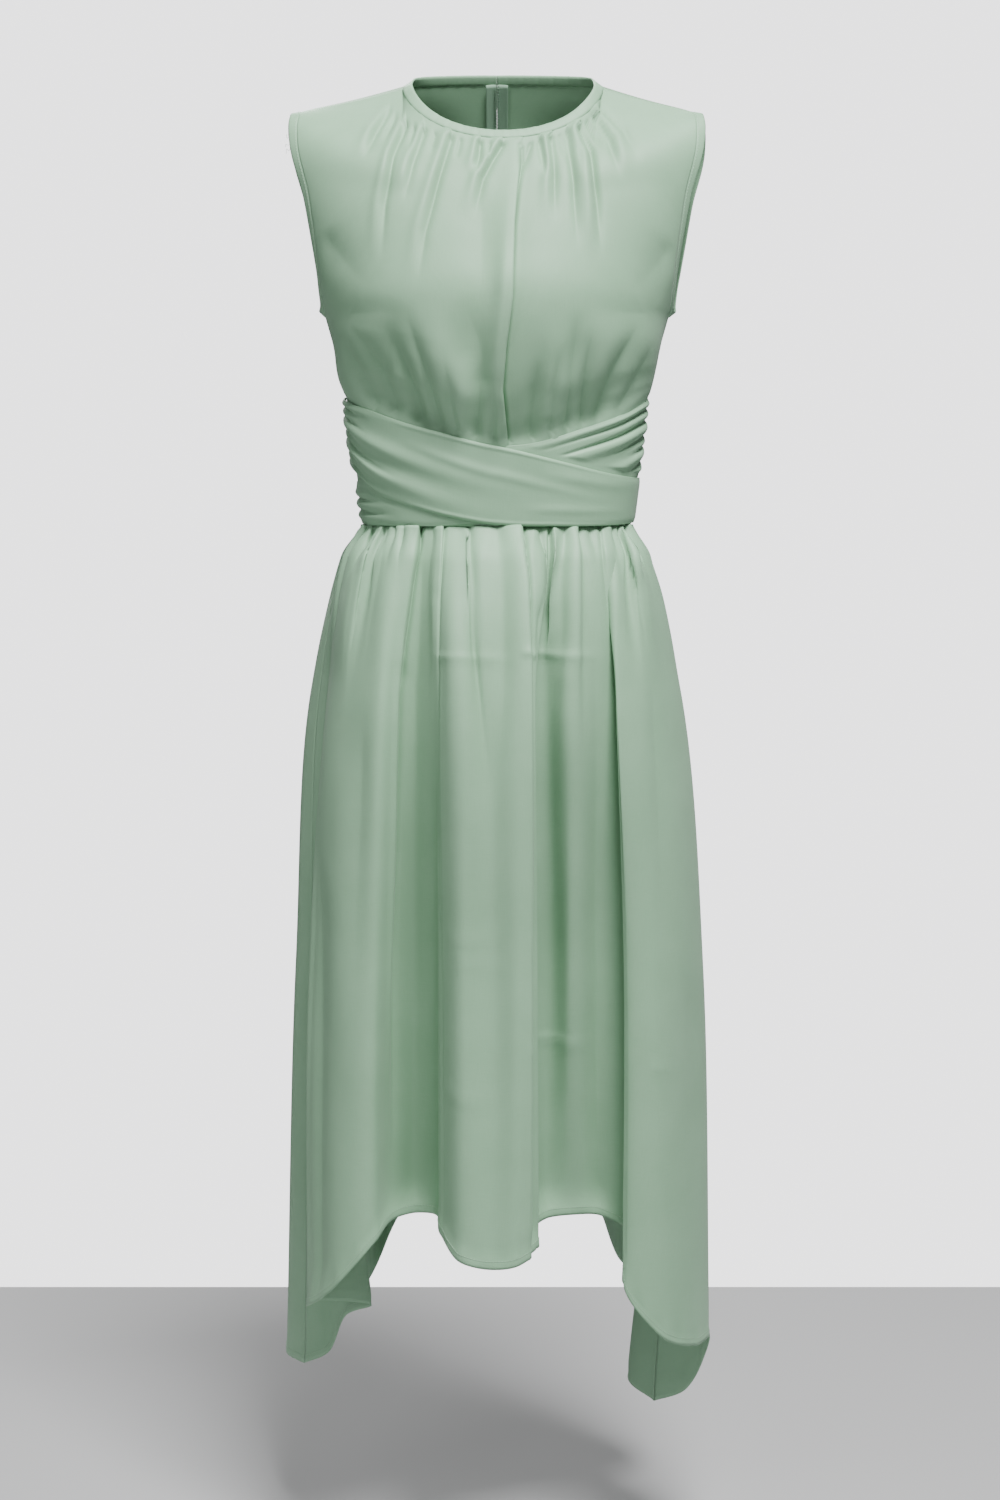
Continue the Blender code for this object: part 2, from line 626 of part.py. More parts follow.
# ---- sash ---------------------------------------------------------------------------------
# Drape folds of each band: where the fold starts and ends across the band (0 upper, 1 lower).
OVER_FOLDS = [
    # turn0, across0, turn1, across1, width, height (mm)
    (-90, 0.08, -30, 0.10, 0.070, 4.0),
    (-90, 0.33, -8, 0.48, 0.075, 4.6),
    (-90, 0.58, -20, 0.76, 0.075, 4.6),
    (-90, 0.84, -42, 0.96, 0.070, 3.8),
]
UNDER_FOLDS = [
    (90, 0.08, 10, 0.08, 0.070, 3.4),
    (90, 0.34, 18, 0.36, 0.075, 3.8),
    (90, 0.62, 34, 0.66, 0.075, 3.6),
    (90, 0.88, 48, 0.94, 0.070, 2.8),
    (-90, 0.30, -55, 0.55, 0.10, 2.0),
    (-90, 0.70, -50, 0.80, 0.10, 2.0),
]


SASH_COLUMNS = 27
SASH_ROWS = 13


def band_folds(folds, turn, across):
    """Height in mm of the drape folds on a grid of turns and places across the band."""
    total = np.zeros(np.broadcast(turn, across).shape)
    for turn0, across0, turn1, across1, width, height in folds:
        share = (turn - turn0) / (turn1 - turn0)
        line = across0 + (across1 - across0) * share
        fade = ease((1.15 - share) / 0.9) * (share > -0.1)
        total += height * fade * np.exp(-((across - line) / width) ** 2)
    return total


def under_folds(turn, z):
    """Folds of the under band where the over band leaves it free."""
    upper, lower = sash_edges(SASH_UNDER, turn)
    across = np.clip((z - upper) / (lower - upper), 0, 1)
    over_upper, over_lower = sash_edges(SASH_OVER, turn)
    clear = 7 * MM
    free = ease((z - over_upper - clear) / clear) + ease((over_lower - z - clear) / clear)
    return band_folds(UNDER_FOLDS, turn, across) * free * MM


def make_sash(name, table, over):
    even = np.linspace(-1, 1, SASH_COLUMNS)
    turn = 45 * (np.sin(even * math.pi / 2) + even)
    across = np.linspace(0, 1, SASH_ROWS)[:, None]
    upper, lower = sash_edges(table, turn)
    z = np.maximum(upper + (lower - upper) * across, WAIST_Z + SEAM_GAP)
    turns = turn + 0 * z
    out = SASH_GAP + SASH_WALL
    if over:
        out = 2 * out + band_folds(OVER_FOLDS, turns, across + 0 * z) * MM
    else:
        out = out + under_folds(turns, z)
    grid = waist_point(np.radians(turns), z, out)
    normals = flat(grid_normals(grid), (1, 1, 0))
    grid[:, 0, 1] = -SEAM_GAP / 2
    grid[:, -1, 1] = -SEAM_GAP / 2
    normals[:, 0] = np.array([-1, 0, 0])
    normals[:, -1] = np.array([1, 0, 0])
    return cloth_wall(name, grid, normals, SASH_WALL)


def make_skirt(name, table, columns, pleats, first_gap, last_gap):
    share = spread(columns, 0.0, 1.0)
    level = np.concatenate([[0, 0.03, 0.07, 0.13], np.linspace(0.21, 1.0, 9)])
    grid = skirt_surface(table, share, level)
    normals = grid_normals(grid)
    depth = pleat_troughs(table, pleats, share, level)
    outward = flat(normals, (1, 1, 0))
    outward[:, 0] = first_gap[2]
    outward[:, -1] = last_gap[2]
    grid = grid - outward * depth[..., None] * MM
    normals = grid_normals(grid)
    normals[0] = flat(normals[0], (1, 1, 0))
    for column, gap in ((0, first_gap), (-1, last_gap)):
        axis, amount, across = gap
        grid[:, column, axis] += amount
        keep = np.array(across, float)
        normals[:, column] = keep
    return cloth_wall(name, grid, normals)


def back_pleats(low, high):
    turns = np.linspace(low, high, BACK_PLEATS + 2)[1:-1]
    return [(turn, 0.12 + 0.08 * (index % 3), BACK_PLEAT_DEPTH * (0.8 + 0.2 * (index % 2)))
            for index, turn in enumerate(turns)]


def edge_frames(points, normals, away):
    """Reach and normal vectors that carry a panel on past its edge line."""
    tangent = unit(np.gradient(points, axis=0))
    normal = unit(normals - tangent * np.sum(normals * tangent, axis=-1, keepdims=True))
    reach = unit(np.cross(tangent, normal))
    reach = reach * np.sign(np.sum(reach * away, axis=-1, keepdims=True))
    return reach, normal


def make_neck_binding():
    front, front_normals, front_share, _ = GRIDS["front"]
    left, left_normals, left_share, _ = GRIDS["back_left"]
    right, right_normals, right_share, _ = GRIDS["back_right"]
    keep = np.abs(front_share) <= NECK_SHARE + 1e-6
    keep_left = np.abs(left_share) < NECK_SHARE - 1e-6
    keep_right = np.abs(right_share) < NECK_SHARE - 1e-6
    line = np.concatenate([right[0, keep_right][::-1], front[0, keep], left[0, keep_left][::-1]])
    below = np.concatenate([right[1, keep_right][::-1], front[1, keep], left[1, keep_left][::-1]])
    normals = np.concatenate([right_normals[0, keep_right][::-1], front_normals[0, keep],
                              left_normals[0, keep_left][::-1]])
    reach, normal = edge_frames(line, normals, line - below)
    corners = np.flatnonzero(np.abs(line[:, 1]) < 1 * MM)
    for corner in corners:
        reach[corner] = unit(reach[corner - 1] + reach[corner + 1])
        normal[corner] = unit(normal[corner - 1] + normal[corner + 1])
        for near in range(corner - 4, corner + 5):
            line[near] += reach[near] * 1.5 * SEAM_GAP
    for end in (0, -1):
        reach[end] = flat(reach[end], (0, 1, 1))
        normal[end] = flat(normal[end], (0, 1, 1))
    line = line + reach * SEAM_GAP - normal * WALL / 2
    return strip_solid("neck_binding", line, reach * BINDING_WIDTH, normal, False)


def make_armhole_binding(name, side):
    front, front_normals, _, front_level = GRIDS["front"]
    back, back_normals, _, back_level = GRIDS["back_left" if side > 0 else "back_right"]
    column = -1 if side > 0 else 0
    beside = -2 if side > 0 else 1
    front_rows = np.flatnonzero(front_level <= UNDERARM_FRONT + 1e-6)
    back_rows = np.flatnonzero(back_level < UNDERARM_BACK - 1e-6)[1:][::-1]
    line = np.concatenate([front[front_rows, column], back[back_rows, column]])
    inner = np.concatenate([front[front_rows, beside], back[back_rows, beside]])
    normals = np.concatenate([front_normals[front_rows, column], back_normals[back_rows, column]])
    looped = np.concatenate([line[-1:], line, line[:1]])
    tangent = unit(looped[2:] - looped[:-2])
    normal = unit(normals - tangent * np.sum(normals * tangent, axis=-1, keepdims=True))
    reach = unit(np.cross(tangent, normal))
    reach = reach * np.sign(np.sum(reach * (line - inner), axis=-1, keepdims=True))
    bottom = len(front_rows) - 1
    for place in (0, bottom):
        before = place - 1
        after = (place + 1) % len(line)
        reach[place] = unit(reach[before] + reach[after])
        normal[place] = unit(normal[before] + normal[after])
    line = line + reach * SEAM_GAP - normal * WALL / 2
    return strip_solid(name, line, reach * BINDING_WIDTH, normal, True)


def block(name, low, high, color=METAL_COLOR):
    """Closed box between two corners, in the zip's own directions."""
    x0, y0, z0 = low
    x1, y1, z1 = high
    corners = [(x0, y0, z0), (x1, y0, z0), (x1, y1, z0), (x0, y1, z0),
               (x0, y0, z1), (x1, y0, z1), (x1, y1, z1), (x0, y1, z1)]
    faces = [(0, 3, 2, 1), (4, 5, 6, 7), (0, 1, 5, 4), (1, 2, 6, 5), (2, 3, 7, 6), (3, 0, 4, 7)]
    return add_object(name, corners, faces, color, 0.35, 0.4)


def prism(name, outline, low_x, high_x, color=METAL_COLOR):
    """Closed prism along X from an outline of (down, out) pairs."""
    count = len(outline)
    vertices = [(low_x, down, out) for down, out in outline]
    vertices += [(high_x, down, out) for down, out in outline]
    faces = [tuple(range(count))[::-1], tuple(range(count, 2 * count))]
    for index in range(count):
        after = (index + 1) % count
        faces.append((index, after, after + count, index + count))
    return add_object(name, vertices, faces, color, 0.35, 0.4)


def circle(radius, count, middle=(0.0, 0.0)):
    return [(middle[0] + radius * math.cos(2 * math.pi * k / count),
             middle[1] + radius * math.sin(2 * math.pi * k / count)) for k in range(count)]


def boolean(target, tool, operation):
    """Apply an exact boolean and remove the tool."""
    modifier = target.modifiers.new("boolean", "BOOLEAN")
    modifier.operation = operation
    modifier.solver = "EXACT"
    modifier.object = tool
    bpy.context.view_layer.update()
    graph = bpy.context.evaluated_depsgraph_get()
    result = bpy.data.meshes.new_from_object(target.evaluated_get(graph))
    target.modifiers.remove(modifier)
    target.data = result
    bpy.data.objects.remove(tool, do_unlink=True)


def make_zip():
    """Slider at the top of the centre back seam and the pull tab that hangs on its bar."""
    left = GRIDS["back_left"][0]
    top = left[0, 0]
    down = unit(left[1, 0] - left[0, 0])
    down[0] = 0
    down = unit(down)
    out = np.array([0.0, -down[2], down[1]])
    start = top * np.array([0, 1, 1]) + down * ZIP_DROP + out * (SEAM_GAP + 0.2 * MM)
    bar_height = SLIDER_THICK + RING_OUTER + 0.3 * MM
    half = SLIDER_WIDTH / 2
    slider = block("zip_slider", (-half, -SLIDER_LENGTH * 0.4, 0), (half, SLIDER_LENGTH * 0.6, SLIDER_THICK))
    inside = PULL_RING_WIDTH / 2 + 0.3 * MM
    for side in (-1, 1):
        low = min(side * inside, side * (inside + CHEEK_THICK))
        cheek = block("cheek", (low, -1.3 * MM, SLIDER_THICK * 0.5),
                      (low + CHEEK_THICK, 1.3 * MM, bar_height + 1.0 * MM))
        boolean(slider, cheek, "UNION")
    bar_outline = circle(BAR_RADIUS, 16, (0.0, bar_height))
    bar = prism("bar", bar_outline, -inside - CHEEK_THICK / 2, inside + CHEEK_THICK / 2)
    boolean(slider, bar, "UNION")
    ring_half = PULL_RING_WIDTH / 2
    tab = prism("zip_pull", circle(RING_OUTER, 16), -ring_half, ring_half)
    plate_half = PULL_WIDTH / 2
    plate = block("plate", (-ring_half, RING_OUTER * 0.6, -RING_OUTER * 0.8),
                  (ring_half, PULL_LENGTH * 0.4, -RING_OUTER * 0.8 + PULL_THICK))
    boolean(tab, plate, "UNION")
    leaf = block("leaf", (-plate_half, PULL_LENGTH * 0.35, -RING_OUTER * 0.8 - 0.0002),
                 (plate_half, PULL_LENGTH, -RING_OUTER * 0.8 + PULL_THICK + 0.0002))
    boolean(tab, leaf, "UNION")
    hole = prism("hole", circle(RING_INNER, 16), -PULL_RING_WIDTH, PULL_RING_WIDTH)
    boolean(tab, hole, "DIFFERENCE")
    frame = Matrix((
        (1.0, 0.0, 0.0, 0.0),
        (0.0, down[1], out[1], 0.0),
        (0.0, down[2], out[2], 0.0),
        (0.0, 0.0, 0.0, 1.0),
    ))
    slider.data.transform(frame)
    slider.data.transform(Matrix.Translation(Vector(start)))
    tab.data.transform(frame)
    tab.location = Vector(start + out * bar_height)
    for made in (slider, tab):
        for polygon in made.data.polygons:
            polygon.use_smooth = False
    print("zip bar centre", [round(float(value), 5) for value in start + out * bar_height])


def build():
    for existing in list(bpy.data.objects):
        bpy.data.objects.remove(existing, do_unlink=True)
    half = SEAM_GAP / 2
    make_bodice_front()
    make_bodice_back("bodice_back_left", 1)
    make_bodice_back("bodice_back_right", -1)
    make_neck_binding()
    make_armhole_binding("armhole_binding_left", 1)
    make_armhole_binding("armhole_binding_right", -1)
    make_zip()
    make_sash("sash_under", SASH_UNDER, False)
    make_sash("sash_over", SASH_OVER, True)
    make_back_band("waistband_back_left", 1)
    make_back_band("waistband_back_right", -1)
    make_skirt("skirt_front", SKIRT_FRONT, 74, WAIST_PLEATS_FRONT,
               (1, -half, (-1, 0, 0)), (1, -half, (1, 0, 0)))
    make_skirt("skirt_back_left", SKIRT_BACK_LEFT, 33, back_pleats(90, 180),
               (1, half, (1, 0, 0)), (0, half, (0, 1, 0)))
    make_skirt("skirt_back_right", SKIRT_BACK_RIGHT, 33, back_pleats(180, 270),
               (0, -half, (0, 1, 0)), (1, half, (-1, 0, 0)))


build()
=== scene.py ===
# %% [markdown]
# # A sleeveless A-line dress with a crossed sash
# The dress is cut from one sage-green, matte-satin woven cloth. The solids that come with it give
# every piece its true place and main shape. This lesson dresses them: each cloth solid is replaced
# by a thin, finely divided shell on the same surface, with creases, seams, hems and stitches.
# Everything is in metres, +Z is up, the front faces -Y and the wearer's left is +X.

# %% Load the fixed frame
import math

import bmesh
import bpy
import numpy as np
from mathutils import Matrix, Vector


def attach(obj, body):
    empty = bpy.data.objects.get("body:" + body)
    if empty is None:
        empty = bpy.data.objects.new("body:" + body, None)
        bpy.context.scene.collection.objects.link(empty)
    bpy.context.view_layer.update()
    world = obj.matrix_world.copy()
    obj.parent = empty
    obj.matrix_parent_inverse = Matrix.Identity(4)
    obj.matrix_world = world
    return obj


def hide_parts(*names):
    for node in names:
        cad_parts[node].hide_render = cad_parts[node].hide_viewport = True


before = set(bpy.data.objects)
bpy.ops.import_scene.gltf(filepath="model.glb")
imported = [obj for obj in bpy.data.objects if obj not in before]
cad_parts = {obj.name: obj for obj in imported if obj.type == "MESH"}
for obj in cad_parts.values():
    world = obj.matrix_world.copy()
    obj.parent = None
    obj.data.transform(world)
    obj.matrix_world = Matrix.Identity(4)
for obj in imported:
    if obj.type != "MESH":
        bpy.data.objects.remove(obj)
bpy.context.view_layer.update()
MM = 0.001
ROUNDING = 1e-6
TINY = 1e-9
CLOTH_BODY = "dress"

# %% [markdown]
# ## Curves through short tables
# A dress pattern is drawn from a few measured rows. The same idea is used here: a short table of
# heights or turns, and a smooth curve through it. A cubic Hermite curve passes through every row
# and doesn't swing far between them, which a plain polynomial would do.

# %% Smooth tables and eased steps


def smooth(knots, values, where):
    """Cubic Hermite curve through a table; values may be numbers or rows of numbers."""
    knots = np.asarray(knots, float)
    values = np.asarray(values, float)
    where = np.clip(np.asarray(where, float), knots[0], knots[-1])
    steps = np.diff(knots).reshape((-1,) + (1,) * (values.ndim - 1))
    secants = np.diff(values, axis=0) / steps
    slopes = np.empty_like(values)
    slopes[0] = secants[0]
    slopes[-1] = secants[-1]
    slopes[1:-1] = (secants[:-1] * steps[1:] + secants[1:] * steps[:-1]) / (steps[:-1] + steps[1:])
    index = np.clip(np.searchsorted(knots, where, side="right") - 1, 0, len(knots) - 2)
    span = np.diff(knots)[index]
    t = (where - knots[index]) / span
    shape = t.shape + (1,) * (values.ndim - 1)
    t = t.reshape(shape)
    span = span.reshape(shape)
    start = (2 * t ** 3 - 3 * t ** 2 + 1) * values[index]
    start_slope = (t ** 3 - 2 * t ** 2 + t) * span * slopes[index]
    end = (3 * t ** 2 - 2 * t ** 3) * values[index + 1]
    end_slope = (t ** 3 - t ** 2) * span * slopes[index + 1]
    return start + start_slope + end + end_slope


def ease(value):
    value = np.clip(value, 0.0, 1.0)
    return value * value * (3 - 2 * value)


def unit(vectors):
    return vectors / (np.linalg.norm(vectors, axis=-1, keepdims=True) + 1e-12)


print("half way up an eased step:", float(ease(0.5)))

# %% [markdown]
# ## The worn form
# Nothing stands inside the dress, but its cloth still has the form of the figure that wore it. The
# tight form round the waist is a rounded oval; its half width and depths are given at four heights.
# The armhole is an upright loop, and the neck line is a tilted one that is lower in front.

# %% Sizes of the worn form
SEAM_GAP = 0.3 * MM
SASH_WALL = 1.3 * MM
SASH_GAP = 0.6 * MM
BINDING_WIDTH = 9.0 * MM
NECK_CENTRE_X = 6 * MM
NECK_HALF_WIDTH = 97 * MM
NECK_FRONT_Y = -66 * MM
NECK_FRONT_Z = -63 * MM
NECK_BACK_Y = 54 * MM
NECK_BACK_Z = 4 * MM
NECK_SIDE_Z = -6 * MM
NECK_SHARE = 0.47
SHOULDER_TIP_X = 192 * MM
SHOULDER_TIP_Z = -31 * MM
ARMHOLE_BOTTOM_Z = -230 * MM
ARMHOLE_HALF_DEPTH = 47 * MM
WAIST_Z = -434 * MM
BACK_BAND_TOP_Z = -309 * MM
WAIST_ROUND = 2.25
WAIST_FORM = [
    # z, half_width, front, back
    (-434, 133, 93, 92), (-306, 149, 101, 96), (-262, 160.5, 107, 101), (-230, 169.5, 112, 104),
]
ARMHOLE_EDGE = [
    # z, x
    (-230, 169.5), (-208, 172.5), (-160, 178), (-116, 184), (-62, 195), (-45, 195), (-31, 192),
]


def form_size(z, column):
    form = np.array(WAIST_FORM, float) * MM
    return np.interp(z, form[:, 0], form[:, column])


def waist_point(angle, z, out=0.0):
    """Point on the tight form; angle 0 is centre front, +90 degrees the wearer's left side."""
    across = np.sin(angle)
    along = -np.cos(angle)
    depth = np.where(along < 0, form_size(z, 2), form_size(z, 3))
    x = (form_size(z, 1) + out) * np.sign(across) * np.abs(across) ** (2 / WAIST_ROUND)
    y = (depth + out) * np.sign(along) * np.abs(along) ** (2 / WAIST_ROUND)
    return np.stack([x, y, z + 0 * x], axis=-1)


def side_point(side, z):
    return np.stack([side * form_size(z, 1), 0 * z, z], axis=-1)


def armhole_point(side, turn):
    """Edge of the armhole; turn 0 at the shoulder tip, 1 at the underarm, negative = front."""
    angle = np.abs(turn) * math.pi
    half_height = (SHOULDER_TIP_Z - ARMHOLE_BOTTOM_Z) / 2
    z = (SHOULDER_TIP_Z + ARMHOLE_BOTTOM_Z) / 2 + half_height * np.cos(angle)
    y = np.sign(turn) * ARMHOLE_HALF_DEPTH * np.sin(angle) ** 0.85
    edge = np.array(ARMHOLE_EDGE, float) * MM
    spread_back = 6 * MM if side > 0 else 2 * MM
    x = smooth(edge[:, 0], edge[:, 1], z) + np.sin(angle) * np.where(turn > 0, spread_back, -2 * MM)
    return np.stack([side * x, y, z], axis=-1)


def top_row(share, front):
    """Neck and shoulder line; share runs -1..1 from the right shoulder tip to the left one."""
    amount = np.abs(share)
    side = np.sign(share)
    around = np.clip(amount / NECK_SHARE, 0, 1) * math.pi / 2
    neck_y = NECK_FRONT_Y if front else NECK_BACK_Y
    neck_z = NECK_FRONT_Z if front else NECK_BACK_Z
    dip = np.cos(around)
    shift = NECK_CENTRE_X * (1.0 if front else np.sin(around))
    lowered = NECK_SIDE_Z + (neck_z - NECK_SIDE_Z) * dip ** (1.15 if front else 1.0)
    neck = np.stack([shift + side * NECK_HALF_WIDTH * np.sin(around) ** 0.95,
                     neck_y * dip ** 0.85, lowered], axis=-1)
    along = np.clip((amount - NECK_SHARE) / (1 - NECK_SHARE), 0, 1)
    slope = 1.12 * along - 0.24 * along ** 3 + 0.12 * along ** 8
    start = NECK_CENTRE_X + side * NECK_HALF_WIDTH
    shoulder = np.stack([start + (side * SHOULDER_TIP_X - start) * along, 0 * along,
                         NECK_SIDE_Z + (SHOULDER_TIP_Z - NECK_SIDE_Z) * slope], axis=-1)
    return np.where((amount < NECK_SHARE)[..., None], neck, shoulder)


print("waist width", round(2 * form_size(WAIST_Z, 1), 3), "m")

# %% [markdown]
# ## The cloth's finish
# The cloth is a plain woven polyester with a matte satin face: fine crossing threads, a soft glow
# where the surface turns away, and hardly a highlight. Painting one flat colour would look like
# plastic, so colour, roughness and bump all vary a little with the threads. The maths of the finish
# is written as ordinary expressions: a small class wraps a node's socket and adds the nodes.

# %% A socket that can be used in arithmetic


class Wire:
    """The output of a node, for use in expressions."""

    def __init__(self, finish, socket):
        self.finish = finish
        self.socket = socket

    def maths(self, operation, *values):
        settings = {"operation": operation}
        return self.finish.node("ShaderNodeMath", settings, dict(enumerate(values)))

    def __add__(self, other):
        return self.maths("ADD", self, other)

    def __sub__(self, other):
        return self.maths("SUBTRACT", self, other)

    def __rsub__(self, other):
        return self.maths("SUBTRACT", other, self)

    def __mul__(self, other):
        return self.maths("MULTIPLY", self, other)

    def clipped(self):
        return self.finish.node("ShaderNodeClamp", {}, {"Value": self})

    def sine(self):
        return self.maths("SINE", self)

    __radd__ = __add__
    __rmul__ = __mul__


class Finish:
    """One material, with the constant values of its shader set at once."""

    def __init__(self, name, **constants):
        self.material = bpy.data.materials.new(name)
        self.material.use_nodes = True
        self.tree = self.material.node_tree
        self.shader = self.tree.nodes["Principled BSDF"]
        for socket, value in constants.items():
            self.shader.inputs[socket.replace("_", " ")].default_value = value

    def node(self, kind, settings, sockets, output=0):
        made = self.tree.nodes.new(kind)
        for name, value in settings.items():
            setattr(made, name, value)
        for name, value in sockets.items():
            if isinstance(value, Wire):
                self.tree.links.new(value.socket, made.inputs[name])
            else:
                made.inputs[name].default_value = value
        return Wire(self, made.outputs[output])

    def feed(self, socket, wire):
        self.tree.links.new(wire.socket, self.shader.inputs[socket])

    def noise(self, place, scale, detail=2.0, roughness=0.5):
        sockets = {"Vector": place, "Scale": scale, "Detail": detail, "Roughness": roughness}
        return self.node("ShaderNodeTexNoise", {}, sockets)

    def vector(self, x, y, z):
        return self.node("ShaderNodeCombineXYZ", {}, {"X": x, "Y": y, "Z": z})

    def mix_color(self, share, first, second):
        sockets = {0: share, 6: (*first, 1.0), 7: (*second, 1.0)}
        return self.node("ShaderNodeMix", {"data_type": "RGBA"}, sockets, output=2)

    def bump(self, height, strength, distance):
        sockets = {"Height": height, "Strength": strength, "Distance": distance}
        self.feed("Normal", self.node("ShaderNodeBump", {}, sockets))


# %% [markdown]
# ## Threads, slubs, a little unevenness and painted shade in the creases
# The stored thread place gives metres along the warp and the weft. Two sine waves at right angles
# Two sine waves at right angles make the plain weave, two stretched noises make threads that are
# thicker here and there, and a wide noise shifts the colour by a few hundredths, as in dyed cloth.
# The depth of the folds paints shade into the colour, so deep creases are a bit darker.

# %% The sage cloth
CLOTH_LIGHT = (0.274, 0.466, 0.304)
CLOTH_DARK = (0.206, 0.376, 0.230)
THREADS_PER_METRE = 2400.0
SLUB_FINE = 1500.0
SLUB_LONG = 60.0
# how far each mm of fold depth moves the colour towards the dark tone: painted shade in the creases
CREASE_PAINTED_SHADE = -0.035


def woven(name, light, dark, roughness, sheen, weave=1.0):
    finish = Finish(name, Roughness=roughness, Metallic=0.0, Sheen_Weight=sheen,
                    Sheen_Roughness=0.45, Specular_IOR_Level=0.42)
    place = finish.node("ShaderNodeAttribute", {"attribute_name": "thread_place"}, {}, output=1)
    split = finish.node("ShaderNodeSeparateXYZ", {}, {0: place}).socket.node
    along, down, fold = [Wire(finish, split.outputs[k]) for k in range(3)]
    pitch = 2 * math.pi * THREADS_PER_METRE / 2
    weave_height = (along * pitch).sine() * (down * pitch).sine()
    warp = finish.noise(finish.vector(along * SLUB_FINE, down * SLUB_LONG, 0.0), 1.0, 3.0)
    weft = finish.noise(finish.vector(along * SLUB_LONG, down * SLUB_FINE, 7.0), 1.0, 3.0)
    slub = (warp + weft) * 0.5
    cloud = finish.noise(finish.vector(along, down, 3.0), 14.0, 4.0, 0.55)
    # the fold term paints shade: the deeper the crease, the darker the cloth's colour
    share = (cloud * 0.9 + slub * 0.9 - 0.4 + fold * CREASE_PAINTED_SHADE).clipped()
    finish.feed("Base Color", finish.mix_color(share, dark, light))
    finish.feed("Roughness", slub * 0.10 + (roughness - 0.05))
    finish.bump(weave_height * (0.25 * weave) + slub * 1.6, 0.5, 0.00012)
    return finish.material


sage_cloth = woven("sage_cloth", CLOTH_LIGHT, CLOTH_DARK, 0.55, 0.08)
tape_cloth = woven("zip_tape_cloth", (0.22, 0.36, 0.25), (0.17, 0.29, 0.20), 0.7, 0.05, 2.0)
print("finishes:", sage_cloth.name, tape_cloth.name)

# %% [markdown]
# ## Thread, zip metal and nylon
# The sewing thread is a shade paler and shinier than the cloth. The zip's slider is zinc painted to
# match, so it has a low gloss with fine scratches, and the coil that closes it is matte nylon.

# %% Thread, paint and nylon


def fine_grain(name, color, roughness, metallic, scale, depth, coat=0.0):
    finish = Finish(name, Roughness=roughness, Metallic=metallic, Coat_Weight=coat)
    place = finish.node("ShaderNodeTexCoord", {}, {}, output=3)
    grain = finish.noise(place, scale, 4.0, 0.6)
    darker = tuple(channel * 0.8 for channel in color)
    finish.feed("Base Color", finish.mix_color(grain, darker, color))
    finish.feed("Roughness", grain * 0.2 + (roughness - 0.1))
    finish.bump(grain, 0.4, depth)
    return finish.material


sewing_thread = fine_grain("sewing_thread", (0.36, 0.54, 0.39), 0.42, 0.0, 3000.0, 0.0001)
zip_paint = fine_grain("zip_paint", (0.25, 0.38, 0.28), 0.32, 0.45, 900.0, 0.00004, 0.3)
coil_nylon = fine_grain("coil_nylon", (0.20, 0.33, 0.23), 0.38, 0.0, 1500.0, 0.00005)
print("finishes:", sewing_thread.name, zip_paint.name, coil_nylon.name)

# %% [markdown]
# ## From flat measures to cloth shells
# Real cloth is a sheet with two faces and turned edges. Each piece is a grid of points on its
# surface, which is then given a second skin and four narrow rims, so it has an inside as well.
# The distance along the grid is stored with every point as the direction of the threads, because
# a weave follows the cut of a piece and not the room that it hangs in.

# %% Build a cloth shell from a grid
CLOTH_THICK = 0.8 * MM


def grid_normals(grid):
    """Unit normals of a grid, away from the inside of the dress."""
    normal = unit(np.cross(np.gradient(grid, axis=1), np.gradient(grid, axis=0)))
    away = grid * np.array([1, 1, 0])
    return -normal if np.sum(normal * away) < 0 else normal


def flat(vectors, keep):
    return unit(vectors * np.array(keep, float))


def heading(line):
    """Direction of a line of points at each of them."""
    return unit(np.gradient(line, axis=0))


def square_to(normals, tangent):
    """Normals turned square to the direction of the line that they stand on."""
    return unit(normals - tangent * np.sum(normals * tangent, axis=-1, keepdims=True))


def path_length(points):
    steps = np.linalg.norm(np.diff(points, axis=0), axis=-1)
    return np.concatenate([[0.0], np.cumsum(steps)])


def grid_lengths(grid, axis):
    """Distance along every row (axis 1) or every column (axis 0) of a grid."""
    steps = np.linalg.norm(np.diff(grid, axis=axis), axis=-1)
    start = np.zeros_like(np.take(steps, [0], axis=axis))
    return np.concatenate([start, np.cumsum(steps, axis=axis)], axis=axis)


def store_thread_place(mesh, values):
    layer = mesh.attributes.new("thread_place", "FLOAT_VECTOR", "POINT")
    layer.data.foreach_set("vector", np.asarray(values, np.float32).ravel())


def new_piece(name, vertices, faces, material, flat_from=None):
    """One mesh object; faces from number flat_from on are left flat, as rims are."""
    mesh = bpy.data.meshes.new(name)
    faces = faces.tolist() if isinstance(faces, np.ndarray) else faces
    mesh.from_pydata(np.asarray(vertices).tolist(), [], faces)
    smooth_faces = np.ones(len(mesh.polygons), bool)
    if flat_from is not None:
        smooth_faces[flat_from:] = False
    mesh.polygons.foreach_set("use_smooth", smooth_faces)
    mesh.materials.append(material)
    piece = bpy.data.objects.new(name, mesh)
    bpy.context.scene.collection.objects.link(piece)
    return piece


